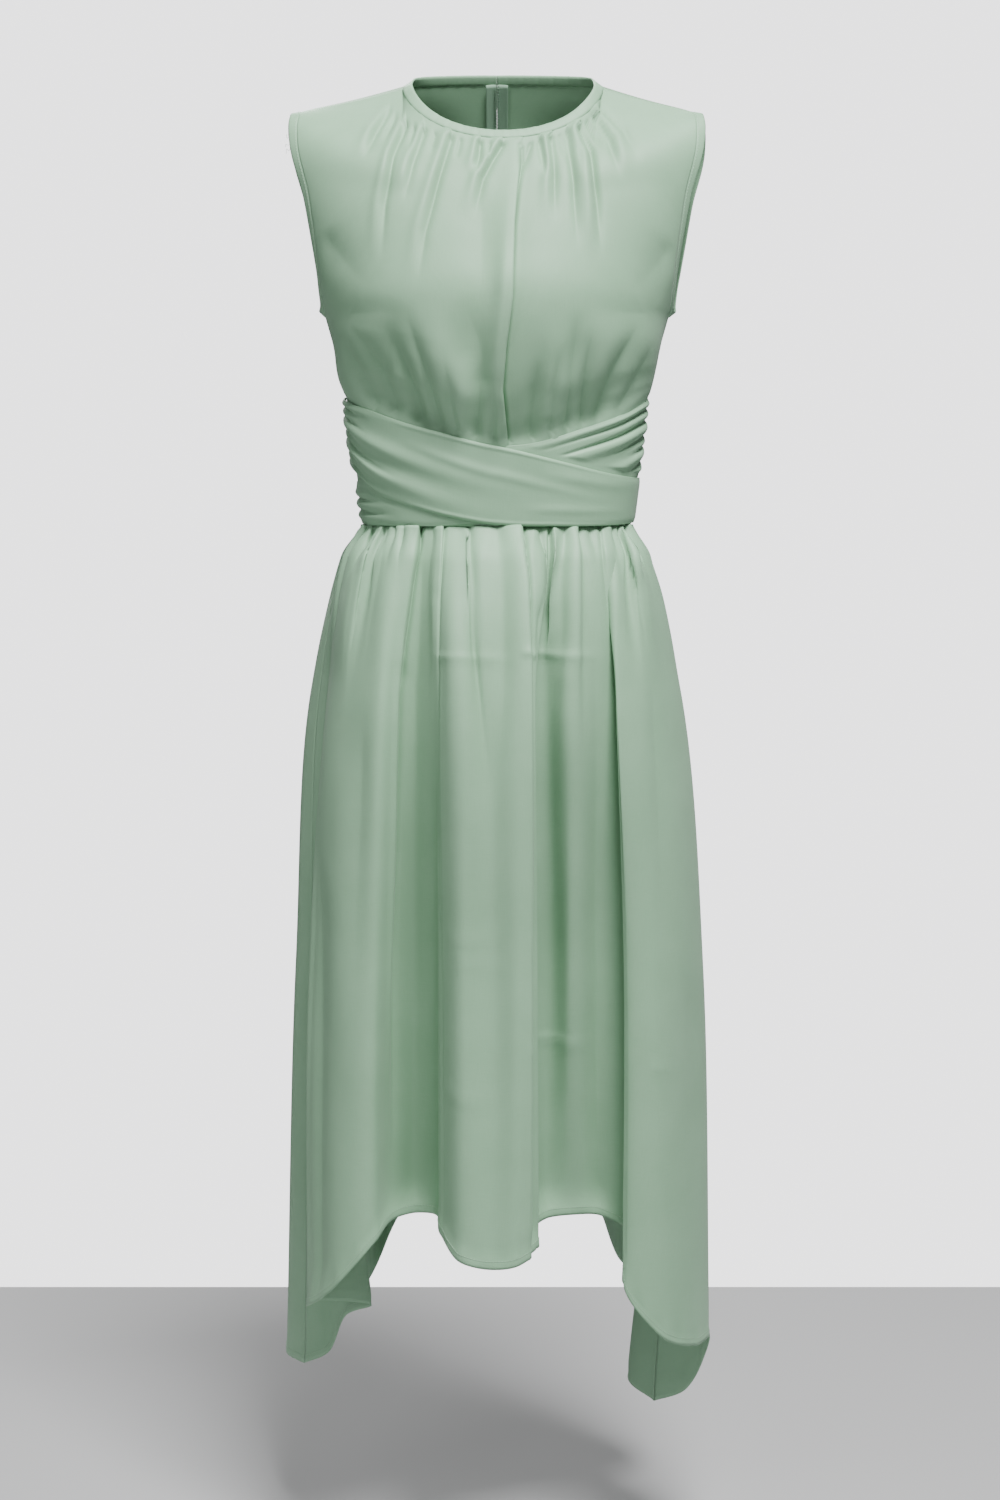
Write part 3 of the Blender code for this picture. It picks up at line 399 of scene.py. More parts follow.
def cloth_shell(name, outer, normals, material, fold_depth=None, thickness=CLOTH_THICK):
    """Closed thin shell: an outer skin, an inner skin and four rims."""
    rows, columns = outer.shape[:2]
    count = rows * columns
    ids = np.arange(count).reshape(rows, columns)
    quads = np.stack([ids[:-1, :-1], ids[:-1, 1:], ids[1:, 1:], ids[1:, :-1]], axis=-1)
    quads = quads.reshape(-1, 4)
    edge = np.concatenate([ids[0, :], ids[1:, -1], ids[-1, -2::-1], ids[-2:0:-1, 0]])
    after = np.roll(edge, -1)
    rims = np.stack([edge, after, after + count, edge + count], axis=-1)
    corners = np.cross(outer[:-1, 1:] - outer[:-1, :-1], outer[1:, :-1] - outer[:-1, :-1])
    if np.dot(corners[rows // 2, columns // 2], normals[rows // 2, columns // 2]) < 0:
        quads = quads[:, ::-1]
    else:
        rims = rims[:, ::-1]
    faces = np.concatenate([quads, quads[:, ::-1] + count, rims])
    vertices = np.concatenate([outer.reshape(-1, 3), (outer - normals * thickness).reshape(-1, 3)])
    piece = new_piece(name, vertices, faces, material, flat_from=2 * len(quads))
    across = grid_lengths(outer, 1)
    across = across - across[:, columns // 2:columns // 2 + 1]
    # the third value is the fold depth, from which the cloth's finish paints shade into the creases
    depth = np.zeros((rows, columns)) if fold_depth is None else fold_depth
    place = np.stack([across, grid_lengths(outer, 0), depth], axis=-1).reshape(-1, 3)
    store_thread_place(piece.data, np.concatenate([place, place]))
    area = float(np.linalg.norm(corners, axis=-1).sum())
    print(name, "cloth", round(area, 4), "m2,", 2 * len(faces), "triangles")
    return piece, area


# %% [markdown]
# ## Creases placed one by one
# Gathered cloth makes ridges and hollows that start hard at the seam and die away. A cloth
# simulation gives folds of its own choosing, and these have to be the ones that the dress has, so
# each one is a row of a table: a width, a depth, a lean, how strong it starts, and the bent line
# that it follows. A lean of 0 is a plain hollow, or a ridge if its depth is negative. A lean of 1
# or -1 adds a round ridge on that side, and 2 or -2 is a fold that laps over a narrow groove there.

# %% Add up creases
RIDGE_SHARE = 0.55
RIDGE_PLACE = 2.3
RIDGE_WIDTH = 1.5
CUT_SHARE = 0.14
LAP_SHARE = 0.75
GROWS_OVER = 0.22
FADES_OVER = 0.6
SPREADS = 0.7


def folded_edge(beside, groove):
    """A soft ridge that drops sharply into a narrow groove, then a hollow that fades away."""
    ridge = -np.exp(-(beside + 0.2) ** 2) * ease((0.05 - beside) / 0.3)
    cut = np.exp(-((beside - groove / 2) / groove) ** 2)
    past = np.maximum(beside, 0)
    return ridge + 0.9 * cut + 0.3 * (1 - np.exp(-(past / 0.3) ** 2)) * np.exp(-past ** 2)


def folded_lap(beside):
    """How far the ridge of a folded edge leans over its groove, and the groove under it."""
    return np.exp(-((beside + 0.2) / 0.16) ** 2) - 0.5 * np.exp(-((beside - 0.12) / 0.13) ** 2)


def beside_line(across, down, path):
    """Distance from a bent line, the same with a sign, and the share of the line passed."""
    lengths = path_length(path)
    best = np.full(np.broadcast(across, down).shape, 1e9)
    where = np.zeros(best.shape)
    beside = np.zeros(best.shape)
    for k in range(len(path) - 1):
        line = path[k + 1] - path[k]
        size = np.linalg.norm(line)
        away_x = across - path[k, 0]
        away_z = down - path[k, 1]
        along = np.clip((away_x * line[0] + away_z * line[1]) / size ** 2, 0, 1)
        gap_x = away_x - along * line[0]
        gap = np.hypot(gap_x, away_z - along * line[1])
        near = gap < best
        best = np.where(near, gap, best)
        beside = np.where(near, np.sign(gap_x) * gap, beside)
        where = np.where(near, (lengths[k] + along * size) / lengths[-1], where)
    return best, beside, where


def crease_depth(across, down, creases):
    """Depth and sideways lean in mm at flat places (mm), from rows of creases."""
    total = np.zeros(np.broadcast(across, down).shape)
    sideways = np.zeros(total.shape)
    for width, depth, lean, start, *path in creases:
        best, beside, where = beside_line(across, down, np.array(path, float))
        fade = (start + (1 - start) * ease(where / GROWS_OVER)) * ease((1 - where) / FADES_OVER)
        spread = width * (1 + SPREADS * where)
        shape = np.exp(-(best / spread) ** (1.4 if depth > 0 else 2.0))
        if abs(lean) == 2:
            side = lean / 2
            shape = folded_edge(beside * side / width, CUT_SHARE)
            sideways += side * LAP_SHARE * depth * fade * folded_lap(beside * side / width)
        elif lean:
            ridge = (beside - lean * RIDGE_PLACE * spread) / (RIDGE_WIDTH * spread)
            shape = shape - RIDGE_SHARE * np.exp(-ridge ** 2)
        total += depth * fade * shape
    return total, sideways


print("height of a folded edge's ridge:", round(float(-folded_edge(-0.25, CUT_SHARE)), 2))


# %% [markdown]
# ## The bodice front
# The front is one panel, cut wider than the chest. It is gathered into the neck binding, hangs over
# the bust in soft folds, and is gathered again where the sash holds it. It is drawn as rows between
# the neck and the waist: each row says where it meets the armhole or side seam and how far the
# middle stands out. The creases are then pressed into that surface along its normals.

# %% Rows of the front and back bodice
FRONT_ROWS = [
    # level, armhole turn, side seam z, middle z, middle y, roundness, wrap
    (0.13, 0.22, None, -90, -84, 2.4, 0.0), (0.25, 0.42, None, -126, -103, 2.4, 0.05),
    (0.37, 0.62, None, -166, -121, 2.4, 0.15), (0.48, 0.82, None, -202, -134, 2.4, 0.35),
    (0.58, 1.00, None, -232, -136, 2.4, 0.6), (0.67, None, -250, -266, -132, 2.4, 0.9),
    (0.77, None, -272, -304, -122, 2.35, 1.0), (0.85, None, -292, -338, -108, 2.3, 1.0),
    (0.91, None, -306, -361, -96.5, 2.25, 1.0), (1.00, None, -433.7, -433.7, -93, 2.25, 1.0),
]
BACK_ROWS = [
    (0.16, 0.22, None, -44, 76, 2.4, 0.0), (0.32, 0.42, None, -96, 95, 2.4, 0.1),
    (0.46, 0.62, None, -142, 105, 2.4, 0.2), (0.60, 0.82, None, -186, 110, 2.4, 0.4),
    (0.72, 1.00, None, -226, 112, 2.4, 0.6), (0.84, None, -262, -262, 110, 2.4, 0.95),
    (0.94, None, -292, -292, 104, 2.3, 1.0), (1.00, None, -308.7, -308.7, 96, 2.25, 1.0),
]
UNDERARM_FRONT = 0.58
UNDERARM_BACK = 0.72
SASH_TOP_FRONT = 0.91
ABOVE_SASH = {0.85: 24, 0.91: 2.5}
SASH_OVER = [
    # turn (deg), upper edge z, lower edge z
    (-90, -308, -372), (-70, -315, -386), (-52, -323, -404), (-35, -334, -414), (-16, -346, -425),
    (0, -357, -432), (22, -371, -433.5), (45, -382, -433.5), (70, -387, -432), (90, -387, -430),
]
SASH_UNDER = [
    (-90, -392, -431), (-70, -388, -433), (-45, -380, -433.5), (-20, -372, -433.5), (-6, -360, -430),
    (12, -354, -422), (32, -340, -412), (52, -327, -402), (70, -315, -392), (90, -309, -384),
]


def sash_edges(table, turn):
    rows = np.array(table, float)
    return smooth(rows[:, 0], rows[:, 1], turn) * MM, smooth(rows[:, 0], rows[:, 2], turn) * MM


def sash_line(turn):
    """Crossed upper edge of the sash, the higher of its two bands."""
    return np.maximum(sash_edges(SASH_OVER, turn)[0], sash_edges(SASH_UNDER, turn)[0])


def snap_edges(rows, sign, share, level, grid):
    """Move the ends of each row onto the armhole and the side seam."""
    underarm = UNDERARM_FRONT if sign < 0 else UNDERARM_BACK
    held = [(0.0, 0.0)] + [(row[0], row[1]) for row in rows if row[1] is not None]
    turn = smooth([row[0] for row in held], [row[1] for row in held], level)
    low = [(underarm, ARMHOLE_BOTTOM_Z / MM)] + [(row[0], row[2]) for row in rows if row[1] is None]
    edge_z = smooth([row[0] for row in low], [row[1] for row in low], level) * MM
    weight = np.abs(share) ** 5
    for side in (-1.0, 1.0):
        column = 0 if share[0] * side > 0.5 else -1
        if share[column] * side < 0.5:
            continue
        upper = armhole_point(side, sign * np.clip(turn, TINY, 1.0))
        exact = np.where((level <= underarm)[:, None], upper, side_point(side, edge_z))
        shift = exact - grid[:, column]
        shift[0] = 0
        grid += shift[:, None, :] * (weight * (share * side > 0))[None, :, None]


def bodice_surface(rows, share, level):
    """Grid of points of the front or back bodice: share across, level from neck to waist."""
    front = rows is FRONT_ROWS
    sign = -1.0 if front else 1.0
    stack = [top_row(share, front)]
    amount = np.abs(share)
    for v, turn, edge_z, middle_z, middle_y, power, wrap in rows:
        if turn is None:
            ends = [side_point(side, np.array(edge_z * MM)) for side in (-1.0, 1.0)]
        else:
            ends = [armhole_point(side, np.array(sign * turn)) for side in (-1.0, 1.0)]
        across = (1 - wrap) * amount + wrap * np.sin(amount * math.pi / 2)
        inward = np.clip(1 - across ** power, 0, 1) ** (1 / (1 + wrap * (power - 1)))
        edge = np.where((share < 0)[:, None], ends[0], ends[1])
        x = edge[:, 0] * across
        y = edge[:, 1] + (middle_y * MM - edge[:, 1]) * inward
        z = edge[:, 2] + (middle_z * MM - edge[:, 2]) * (1 - across ** 2)
        if front and v in ABOVE_SASH:
            z = sash_line(share * 90) + ABOVE_SASH[v] * MM
        stack.append(np.stack([x, y, z], axis=-1))
    grid = smooth([0.0] + [row[0] for row in rows], np.array(stack), level)
    snap_edges(rows, sign, share, level, grid)
    tight = level >= (SASH_TOP_FRONT if front else 1.0) - ROUNDING
    turn = np.broadcast_to(share * math.pi / 2, grid[tight, :, 0].shape)
    grid[tight] = waist_point(turn if front else math.pi - turn, grid[tight, :, 2])
    return grid


def bodice_normals(grid, share):
    normals = grid_normals(grid)
    shoulder = np.abs(share) >= NECK_SHARE - ROUNDING
    normals[0, ~shoulder] = square_to(normals[0], heading(grid[0]))[~shoulder]
    normals[0, shoulder] = flat(normals[0, shoulder], (1, 0, 1))
    normals[1:, 0] = square_to(normals[:, 0], heading(grid[:, 0]))[1:]
    normals[1:, -1] = square_to(normals[:, -1], heading(grid[:, -1]))[1:]
    normals[-1] = flat(normals[-1], (1, 1, 0))
    return normals


print(len(FRONT_ROWS), "rows in the front of the bodice and", len(BACK_ROWS), "in its backs")


# %% Creases of the bodice front, seen from the front (mm)
BODICE_CREASES = [
    # width, depth, lean, start, line: first the long fold down the middle, with its right edge sharp
    (14, 5.6, 2, 0.25, (24, -74), (23, -92), (19, -120), (15.5, -150), (13.6, -220), (8, -262),
     (5, -304), (11, -356), (12, -470)),
    (7.0, -3.6, 0, 0.0, (9, -150), (6, -220), (0, -262), (-4, -304), (0, -356), (2, -420)),
    (2.2, 3.2, 0, 1.0, (22, -71), (23, -86), (22, -108)),
    (2.4, 3.0, 0, 1.0, (32, -70), (28, -84), (23, -100)),
    (14, 2.6, 0, 0.0, (-14, -110), (-14, -200), (-18, -290)),
    # gathers that hang from the neck
    (2.3, 5.0, -1, 1.0, (-105, -33), (-117, -56), (-128, -86)),
    (2.0, 3.8, 0, 1.0, (-98, -39), (-105, -54), (-109, -68)),
    (2.5, 4.6, -1, 1.0, (-88, -49), (-99, -80), (-107, -128), (-110, -190)),
    (2.0, 3.4, 0, 1.0, (-79, -53), (-83, -66), (-86, -78)),
    (2.4, 4.0, -1, 1.0, (-70, -56), (-80, -88), (-89, -132)),
    (2.0, 2.6, 0, 1.0, (-59, -60), (-62, -71), (-64, -82)),
    (2.8, 4.6, -1, 1.0, (-44, -64), (-55, -104), (-68, -156), (-75, -215)),
    (2.0, 2.4, 0, 1.0, (-35, -66), (-37, -76), (-40, -88)),
    (2.2, 4.4, -1, 1.0, (-16, -69), (-17, -82), (-20, -102)),
    (1.9, 2.6, 0, 1.0, (-7, -70), (-8, -78), (-9, -86)),
    (2.5, 4.8, -1, 1.0, (5, -71), (-3, -84), (-13, -104), (-22, -146)),
    (2.1, 4.2, 1, 1.0, (41, -68), (44, -86), (46, -106)),
    (2.6, 4.4, -1, 1.0, (52, -65), (55, -98), (55, -150)),
    (2.0, 3.0, 0, 1.0, (60, -62), (63, -74), (65, -86)),
    (2.5, 4.4, 1, 1.0, (67, -59), (73, -106), (77, -180)),
    (2.5, 6.4, -1, 1.0, (80, -54), (90, -76), (96, -128), (99, -185)),
    (2.1, 4.4, 0, 1.0, (87, -48), (96, -61), (104, -76)),
    (2.4, 3.8, 1, 1.0, (94, -41), (108, -66), (119, -106)),
    (2.3, 3.2, -1, 1.0, (101, -32), (122, -53), (138, -88)),
    # folds that the sash gathers in, from the sash upwards
    (8.0, 6.0, -1, 0.7, (-98, -318), (-122, -276), (-150, -230)),
    (7.0, 9.0, 1, 0.9, (-70, -340), (-90, -286), (-112, -236)),
    (6.5, 9.5, 1, 0.9, (-50, -350), (-68, -290), (-90, -224)),
    (5.0, 5.0, 1, 0.9, (-34, -355), (-44, -310), (-52, -262)),
    (5.0, 6.0, -1, 0.9, (-20, -360), (-17, -310), (-15, -262)),
    (15.0, 6.0, 0, 0.3, (-8, -318), (-16, -262), (-34, -214)),
    (22.0, 5.0, 0, 0.5, (-112, -300), (-104, -250), (-92, -216)),
    (4.0, 4.0, -1, 0.9, (-3, -362), (-3, -326), (-4, -290)),
    (5.0, 5.0, 1, 0.9, (32, -356), (35, -318), (40, -272)),
    (4.6, 5.6, 1, 0.9, (50, -350), (54, -308), (62, -256)),
    (6.0, 8.5, -1, 0.9, (66, -343), (71, -298), (78, -226)),
    (5.0, 5.6, -1, 0.9, (82, -337), (85, -298), (92, -240)),
    (16.0, 4.0, 0, 0.4, (40, -330), (48, -276), (60, -222)),
    (6.5, 7.0, 1, 0.8, (96, -331), (116, -284), (140, -232)),
    (5.0, 4.2, 1, 0.8, (116, -322), (138, -284), (157, -248)),
    (5.0, 4.6, -1, 0.8, (-118, -312), (-140, -276), (-160, -242)),
    # broad drag lines from the bust to the armholes
    (14, 2.6, 0, 0.0, (-172, -150), (-140, -190), (-112, -214)),
    (14, 2.6, 0, 0.0, (174, -160), (146, -196), (118, -214)),
]
print(len(BODICE_CREASES), "creases in the bodice front")

# %% Make the bodice front
GRIDS = {}


def press(grid, normals, depth):
    return grid - normals * depth[..., None] * MM


def seam_roll(distance, depth=0.7 * MM, width=1.6 * MM):
    """How far cloth turns in beside a seam, at a distance from it."""
    return depth * np.exp(-(distance / width) ** 2)


RELAX_STEP = 0.8


def relax(grid, near, passes):
    """Let points settle between their neighbours, as far as the weights in near allow."""
    for _ in range(passes):
        beside = sum(np.roll(grid, step, axis=axis) for axis in (0, 1) for step in (1, -1)) / 4
        grid = grid + (beside - grid) * (near * RELAX_STEP)[..., None]
    return grid


UNDERARM_SHARES = (0.72, 0.999)
UNDERARM_LEVELS = 0.16
CORNER_SHARES = 0.22
CORNER_LEVELS = 0.22


def relax_underarm(grid, share, level, underarm, passes=40):
    """Ease the bend that each row makes beside the lowest point of the armhole."""
    inside = (np.abs(share) > UNDERARM_SHARES[0]) & (np.abs(share) < UNDERARM_SHARES[1])
    near = ease((UNDERARM_LEVELS - np.abs(level - underarm)) / 0.08)
    return relax(grid, inside[None, :] * near[:, None], passes)


def relax_neck_corner(grid, share, level, passes=40):
    """Round the corner where the neck line meets the shoulder seam."""
    beside_corner = ease((CORNER_SHARES - np.abs(np.abs(share) - NECK_SHARE)) / 0.16)
    below = ease((CORNER_LEVELS - level) / 0.12) * (level > 0)
    return relax(grid, beside_corner[None, :] * below[:, None], passes)


FRONT_COLUMNS = 351
FRONT_LEVELS = 127
UNDER_SASH_LEVELS = 8


def make_bodice_front():
    even = np.linspace(-1, 1, FRONT_COLUMNS)
    share = 0.70 * even + 0.30 * even ** 3
    level = np.concatenate([np.linspace(0, SASH_TOP_FRONT, FRONT_LEVELS),
                            np.linspace(SASH_TOP_FRONT, 1, UNDER_SASH_LEVELS)[1:]])
    grid = bodice_surface(FRONT_ROWS, share, level)
    grid = relax_underarm(grid, share, level, UNDERARM_FRONT)
    normals = bodice_normals(grid, share)
    depth, sideways = crease_depth(grid[..., 0] / MM, grid[..., 2] / MM, BODICE_CREASES)
    edge = ease((1 - np.abs(share)) / 0.10)[None, :]
    neck = np.abs(share) < NECK_SHARE
    top = np.where(neck[None, :], 0.45 + 0.55 * ease(level / 0.016)[:, None],
                   ease(level / 0.08)[:, None])
    above = (grid[..., 2] - sash_line(share * 90)[None, :]) / MM
    calm = edge * top * ease((above + 4) / 10)
    depth = depth * calm
    GRIDS["neck_front"] = (grid.copy(), normals.copy(), share, level)
    grid = press(grid, normals, depth)
    grid[..., 0] += sideways * calm * MM
    normals = bodice_normals(grid, share)
    seam = level > UNDERARM_FRONT - ROUNDING
    grid[0, ~neck, 1] = -SEAM_GAP / 2
    for column, side in ((0, -1.0), (-1, 1.0)):
        grid[:, column, 1] = np.minimum(grid[:, column, 1], -SEAM_GAP / 2)
        grid[seam, column, 1] = -SEAM_GAP / 2
        normals[seam, column] = (side, 0, 0)
    GRIDS["front"] = (grid, normals, share, level)
    return cloth_shell("bodice_front_cloth", grid, normals, sage_cloth, depth)


bodice_front, bodice_front_area = make_bodice_front()

# %% [markdown]
# ## The two backs of the bodice
# The back is cut in two because it opens down the middle. It lies smoother than the front, and the
# photo hides it, so it gets only what such a back must have: shallow folds where the waistband
# gathers it, and soft drag lines that run from the shoulder blades.

# %% Make the backs of the bodice
BACK_CREASES = [
    # width, depth, lean, start, line, with x measured outwards from the middle
    (5.0, 3.4, -1, 0.9, (34, -309), (38, -270), (46, -226)),
    (5.5, 4.2, 1, 0.9, (58, -309), (64, -262), (76, -206)),
    (4.5, 3.0, -1, 0.9, (81, -309), (90, -276), (98, -236)),
    (5.0, 3.4, 1, 0.9, (106, -309), (118, -272), (132, -232)),
    (13, 2.0, 0, 0.0, (40, -70), (84, -130), (128, -172)),
    (14, 1.8, 0, 0.0, (30, -140), (70, -190), (118, -214)),
]


BACK_COLUMNS = 125
BACK_LEVELS = 118


def make_bodice_back(name, side, creases):
    share = np.linspace(min(side, 0), max(side, 0), BACK_COLUMNS)
    level = np.linspace(0, 1, BACK_LEVELS)
    grid = bodice_surface(BACK_ROWS, np.where(share == 0, side * TINY, share), level)
    grid = relax_underarm(grid, share, level, UNDERARM_BACK, 20)
    grid = relax_neck_corner(grid, share, level)
    normals = bodice_normals(grid, share)
    depth, _ = crease_depth(np.abs(grid[..., 0]) / MM, grid[..., 2] / MM, creases)
    amount = np.abs(share)
    depth = depth * (ease((1 - amount) / 0.10) * ease(amount / 0.06))[None, :]
    depth = depth * ease(level / 0.08)[:, None] * (0.3 + 0.7 * ease((1 - level) / 0.05))[:, None]
    grid = press(grid, normals, depth)
    normals = bodice_normals(grid, share)
    middle, outer = (0, -1) if side > 0 else (-1, 0)
    seam = level > UNDERARM_BACK - ROUNDING
    grid[0, amount >= NECK_SHARE - ROUNDING, 1] = SEAM_GAP / 2
    grid[:, middle, 0] = side * SEAM_GAP / 2
    grid[:, outer, 1] = np.maximum(grid[:, outer, 1], SEAM_GAP / 2)
    grid[seam, outer, 1] = SEAM_GAP / 2
    normals[:, middle] = flat(normals[:, middle], (0, 1, 1))
    normals[-1, middle] = (0, 1, 0)
    normals[seam, outer] = (side, 0, 0)
    roll = seam_roll(np.abs(grid[..., 0])) * (amount < 0.1)[None, :]
    grid -= normals * roll[..., None]
    GRIDS["back_left" if side > 0 else "back_right"] = (grid, normals, share, level)
    return cloth_shell(name, grid, normals, sage_cloth, depth)


right_creases = [(w, d * 0.8, lean, s, *[(x + 5, z + 6 if z > -300 else z) for x, z in line])
                 for w, d, lean, s, *line in BACK_CREASES]
back_left, back_left_area = make_bodice_back("bodice_back_left_cloth", 1, BACK_CREASES)
back_right, back_right_area = make_bodice_back("bodice_back_right_cloth", -1, right_creases)

# %% [markdown]
# ## The back waistband
# Past the side seams the sash ends, and two straight pieces go on round the back to the zip.
# They are pulled smooth, so only a faint waviness along the seams is added.

# %% Make the back waistband
BAND_COLUMNS = 70
BAND_ROWS = 46


def make_back_band(name, side):
    turn = np.radians(np.linspace(90, 180, BAND_COLUMNS))
    z = np.linspace(BACK_BAND_TOP_Z, WAIST_Z + SEAM_GAP, BAND_ROWS)
    grid = np.array([waist_point(side * turn, np.full_like(turn, height)) for height in z])
    if side < 0:
        grid = grid[:, ::-1]
    normals = flat(grid_normals(grid), (1, 1, 0))
    middle, outer = (-1, 0) if side > 0 else (0, -1)
    along = np.linspace(0, 1, grid.shape[1])[None, :]
    down = np.linspace(0, 1, grid.shape[0])[:, None]
    wave = 0.5 * np.sin(along * 21 + side) * np.sin(down * math.pi)
    wave = wave + 0.35 * np.sin(along * 47 + 2 * down)
    for place, fade in ((along, 0.1), (down, 0.15)):
        wave = wave * ease(place / fade) * ease((1 - place) / fade)
    edge = np.minimum(down, 1 - down) * (BACK_BAND_TOP_Z - WAIST_Z)
    grid[:, middle, 0] = side * SEAM_GAP / 2
    grid[:, outer, 1] = SEAM_GAP / 2
    normals[:, middle] = (0, 1, 0)
    normals[:, outer] = (side, 0, 0)
    roll = seam_roll(edge + 0 * grid[..., 0]) + seam_roll(np.abs(grid[..., 0]))
    grid = press(grid, normals, wave) - normals * roll[..., None]
    return cloth_shell(name, grid, normals, sage_cloth, wave)


band_left, band_area = make_back_band("waistband_back_left_cloth", 1)
band_right, _ = make_back_band("waistband_back_right_cloth", -1)

# %% [markdown]
# ## The crossed sash
# Two wide bands cross at the front. Each is pushed together where it is sewn into one side seam,
# and lies flat at the other, so its folds start close together at the ruched end and fan out until
# they die away. On each band a fold is a row that says where it starts and ends across the band.

# %% Folds of the sash bands
OVER_FOLDS = [
    # turn0, across0, turn1, across1, width, height (mm)
    (-90, 0.05, -54, 0.06, 0.034, 3.0), (-90, 0.17, -62, 0.20, 0.036, 2.6),
    (-90, 0.31, 4, 0.52, 0.095, 4.4),
    (-90, 0.48, -58, 0.58, 0.036, 2.4), (-90, 0.62, -6, 0.84, 0.090, 4.4),
    (-90, 0.80, -62, 0.87, 0.034, 2.4),
    (-90, 0.92, -44, 0.97, 0.036, 3.2),
    (-90, 0.11, -62, 0.13, 0.018, -3.2), (-90, 0.24, -58, 0.29, 0.022, -3.2),
    (-90, 0.41, -68, 0.47, 0.020, -2.8),
    (-90, 0.55, -40, 0.69, 0.030, -3.6), (-90, 0.72, -68, 0.78, 0.018, -2.8),
    (-90, 0.86, -60, 0.92, 0.020, -3.0),
    (-56, 0.03, 60, 0.035, 0.022, 1.3), (-50, 0.975, 60, 0.97, 0.022, 1.2),
    (-40, 0.22, 40, 0.50, 0.060, 1.5),
    (10, 0.25, 70, 0.20, 0.090, 1.0), (4, 0.78, 60, 0.70, 0.070, 0.9),
]
UNDER_FOLDS = [
    (90, 0.05, 4, 0.06, 0.034, 2.6), (90, 0.19, 30, 0.20, 0.040, 2.6),
    (90, 0.36, 12, 0.37, 0.070, 4.0), (90, 0.53, 56, 0.56, 0.036, 2.6),
    (90, 0.68, 36, 0.72, 0.070, 3.8), (90, 0.88, 60, 0.93, 0.050, 3.0),
    (90, 0.12, 14, 0.13, 0.018, -3.0), (90, 0.27, 10, 0.285, 0.022, -3.8),
    (90, 0.46, 46, 0.48, 0.020, -2.8), (90, 0.60, 64, 0.63, 0.018, -2.8),
    (90, 0.79, 60, 0.84, 0.020, -2.8), (-90, 0.22, -52, 0.42, 0.08, 3.0),
    (-90, 0.50, -44, 0.68, 0.09, 3.4), (-90, 0.80, -46, 0.88, 0.07, 2.8),
    (-90, 0.36, -56, 0.55, 0.035, -3.4), (-90, 0.66, -50, 0.79, 0.035, -3.4),
]
SASH_COLUMNS = 300
SASH_ROWS = 76


def band_folds(folds, turn, across):
    """Height in mm of the drape folds on a grid of turns and places across the band."""
    total = np.zeros(np.broadcast(turn, across).shape)
    for turn0, across0, turn1, across1, width, height in folds:
        share = (turn - turn0) / (turn1 - turn0)
        line = across0 + (across1 - across0) * np.clip(share, 0, 1)
        ruched = abs(turn0) == 90
        start = 1.0 if ruched else ease(np.clip(share / 0.35, 0, 1))
        fade = ease((1.15 - share) / 0.9) * (share > -0.01) * start
        total += height * fade * np.exp(-((across - line) / (width * (1 + 0.25 * share))) ** 2)
    return total


def under_folds(turn, z):
    """Folds of the under band where the over band leaves it free."""
    upper, lower = sash_edges(SASH_UNDER, turn)
    across = np.clip((z - upper) / (lower - upper), 0, 1)
    over_upper, over_lower = sash_edges(SASH_OVER, turn)
    clear = 4 * MM
    free = ease((z - over_upper - clear) / clear) + ease((over_lower - z - clear) / clear)
    return band_folds(UNDER_FOLDS, turn, across) * free


def make_sash(name, table, over):
    even = np.linspace(-1, 1, SASH_COLUMNS)
    turn = 45 * (np.sin(even * math.pi / 2) + even)
    across = np.linspace(0, 1, SASH_ROWS)[:, None]
    upper, lower = sash_edges(table, turn)
    z = np.maximum(upper + (lower - upper) * across, WAIST_Z + SEAM_GAP)
    turns = turn + 0 * z
    folds = band_folds(OVER_FOLDS, turns, across + 0 * z) if over else under_folds(turns, z)
    out = (SASH_GAP + SASH_WALL) * (2 if over else 1)
    inner_edge = (across * (1 - across)) * (upper - lower)
    rolled = seam_roll(inner_edge + 0 * z, 0.9 * MM, 3.0 * MM)
    tuck = 1 - 0.65 * np.exp(-((90 - np.abs(turn)) / 2.0) ** 2)
    folds = folds * (1 - 0.55 * np.exp(-((90 - np.abs(turn)) / 9.0) ** 2))
    height = (out + folds * MM - rolled) * tuck
    grid = waist_point(np.radians(turns), z, np.maximum(height, out * 0.35))
    normals = flat(grid_normals(grid), (1, 1, 0))
    grid[:, 0, 1] = -SEAM_GAP / 2
    grid[:, -1, 1] = -SEAM_GAP / 2
    normals[:, 0] = np.array([-1, 0, 0])
    normals[:, -1] = np.array([1, 0, 0])
    return cloth_shell(name, grid, normals, sage_cloth, -folds)


sash_under, sash_under_area = make_sash("sash_under_cloth", SASH_UNDER, False)
sash_over, sash_over_area = make_sash("sash_over_cloth", SASH_OVER, True)

# %% [markdown]
# ## The skirt
# The skirt is a wide front and two backs, gathered into the waist seam. The gathers run together
# into a few deep folds, and the hem hangs lowest at the two side seams. It is drawn as upright fold
# lines: every row says where a line starts round the waist, and where it passes hip, knee and hem.
# Waist pleats, longer creases and a trace of packing creases are then pressed in.

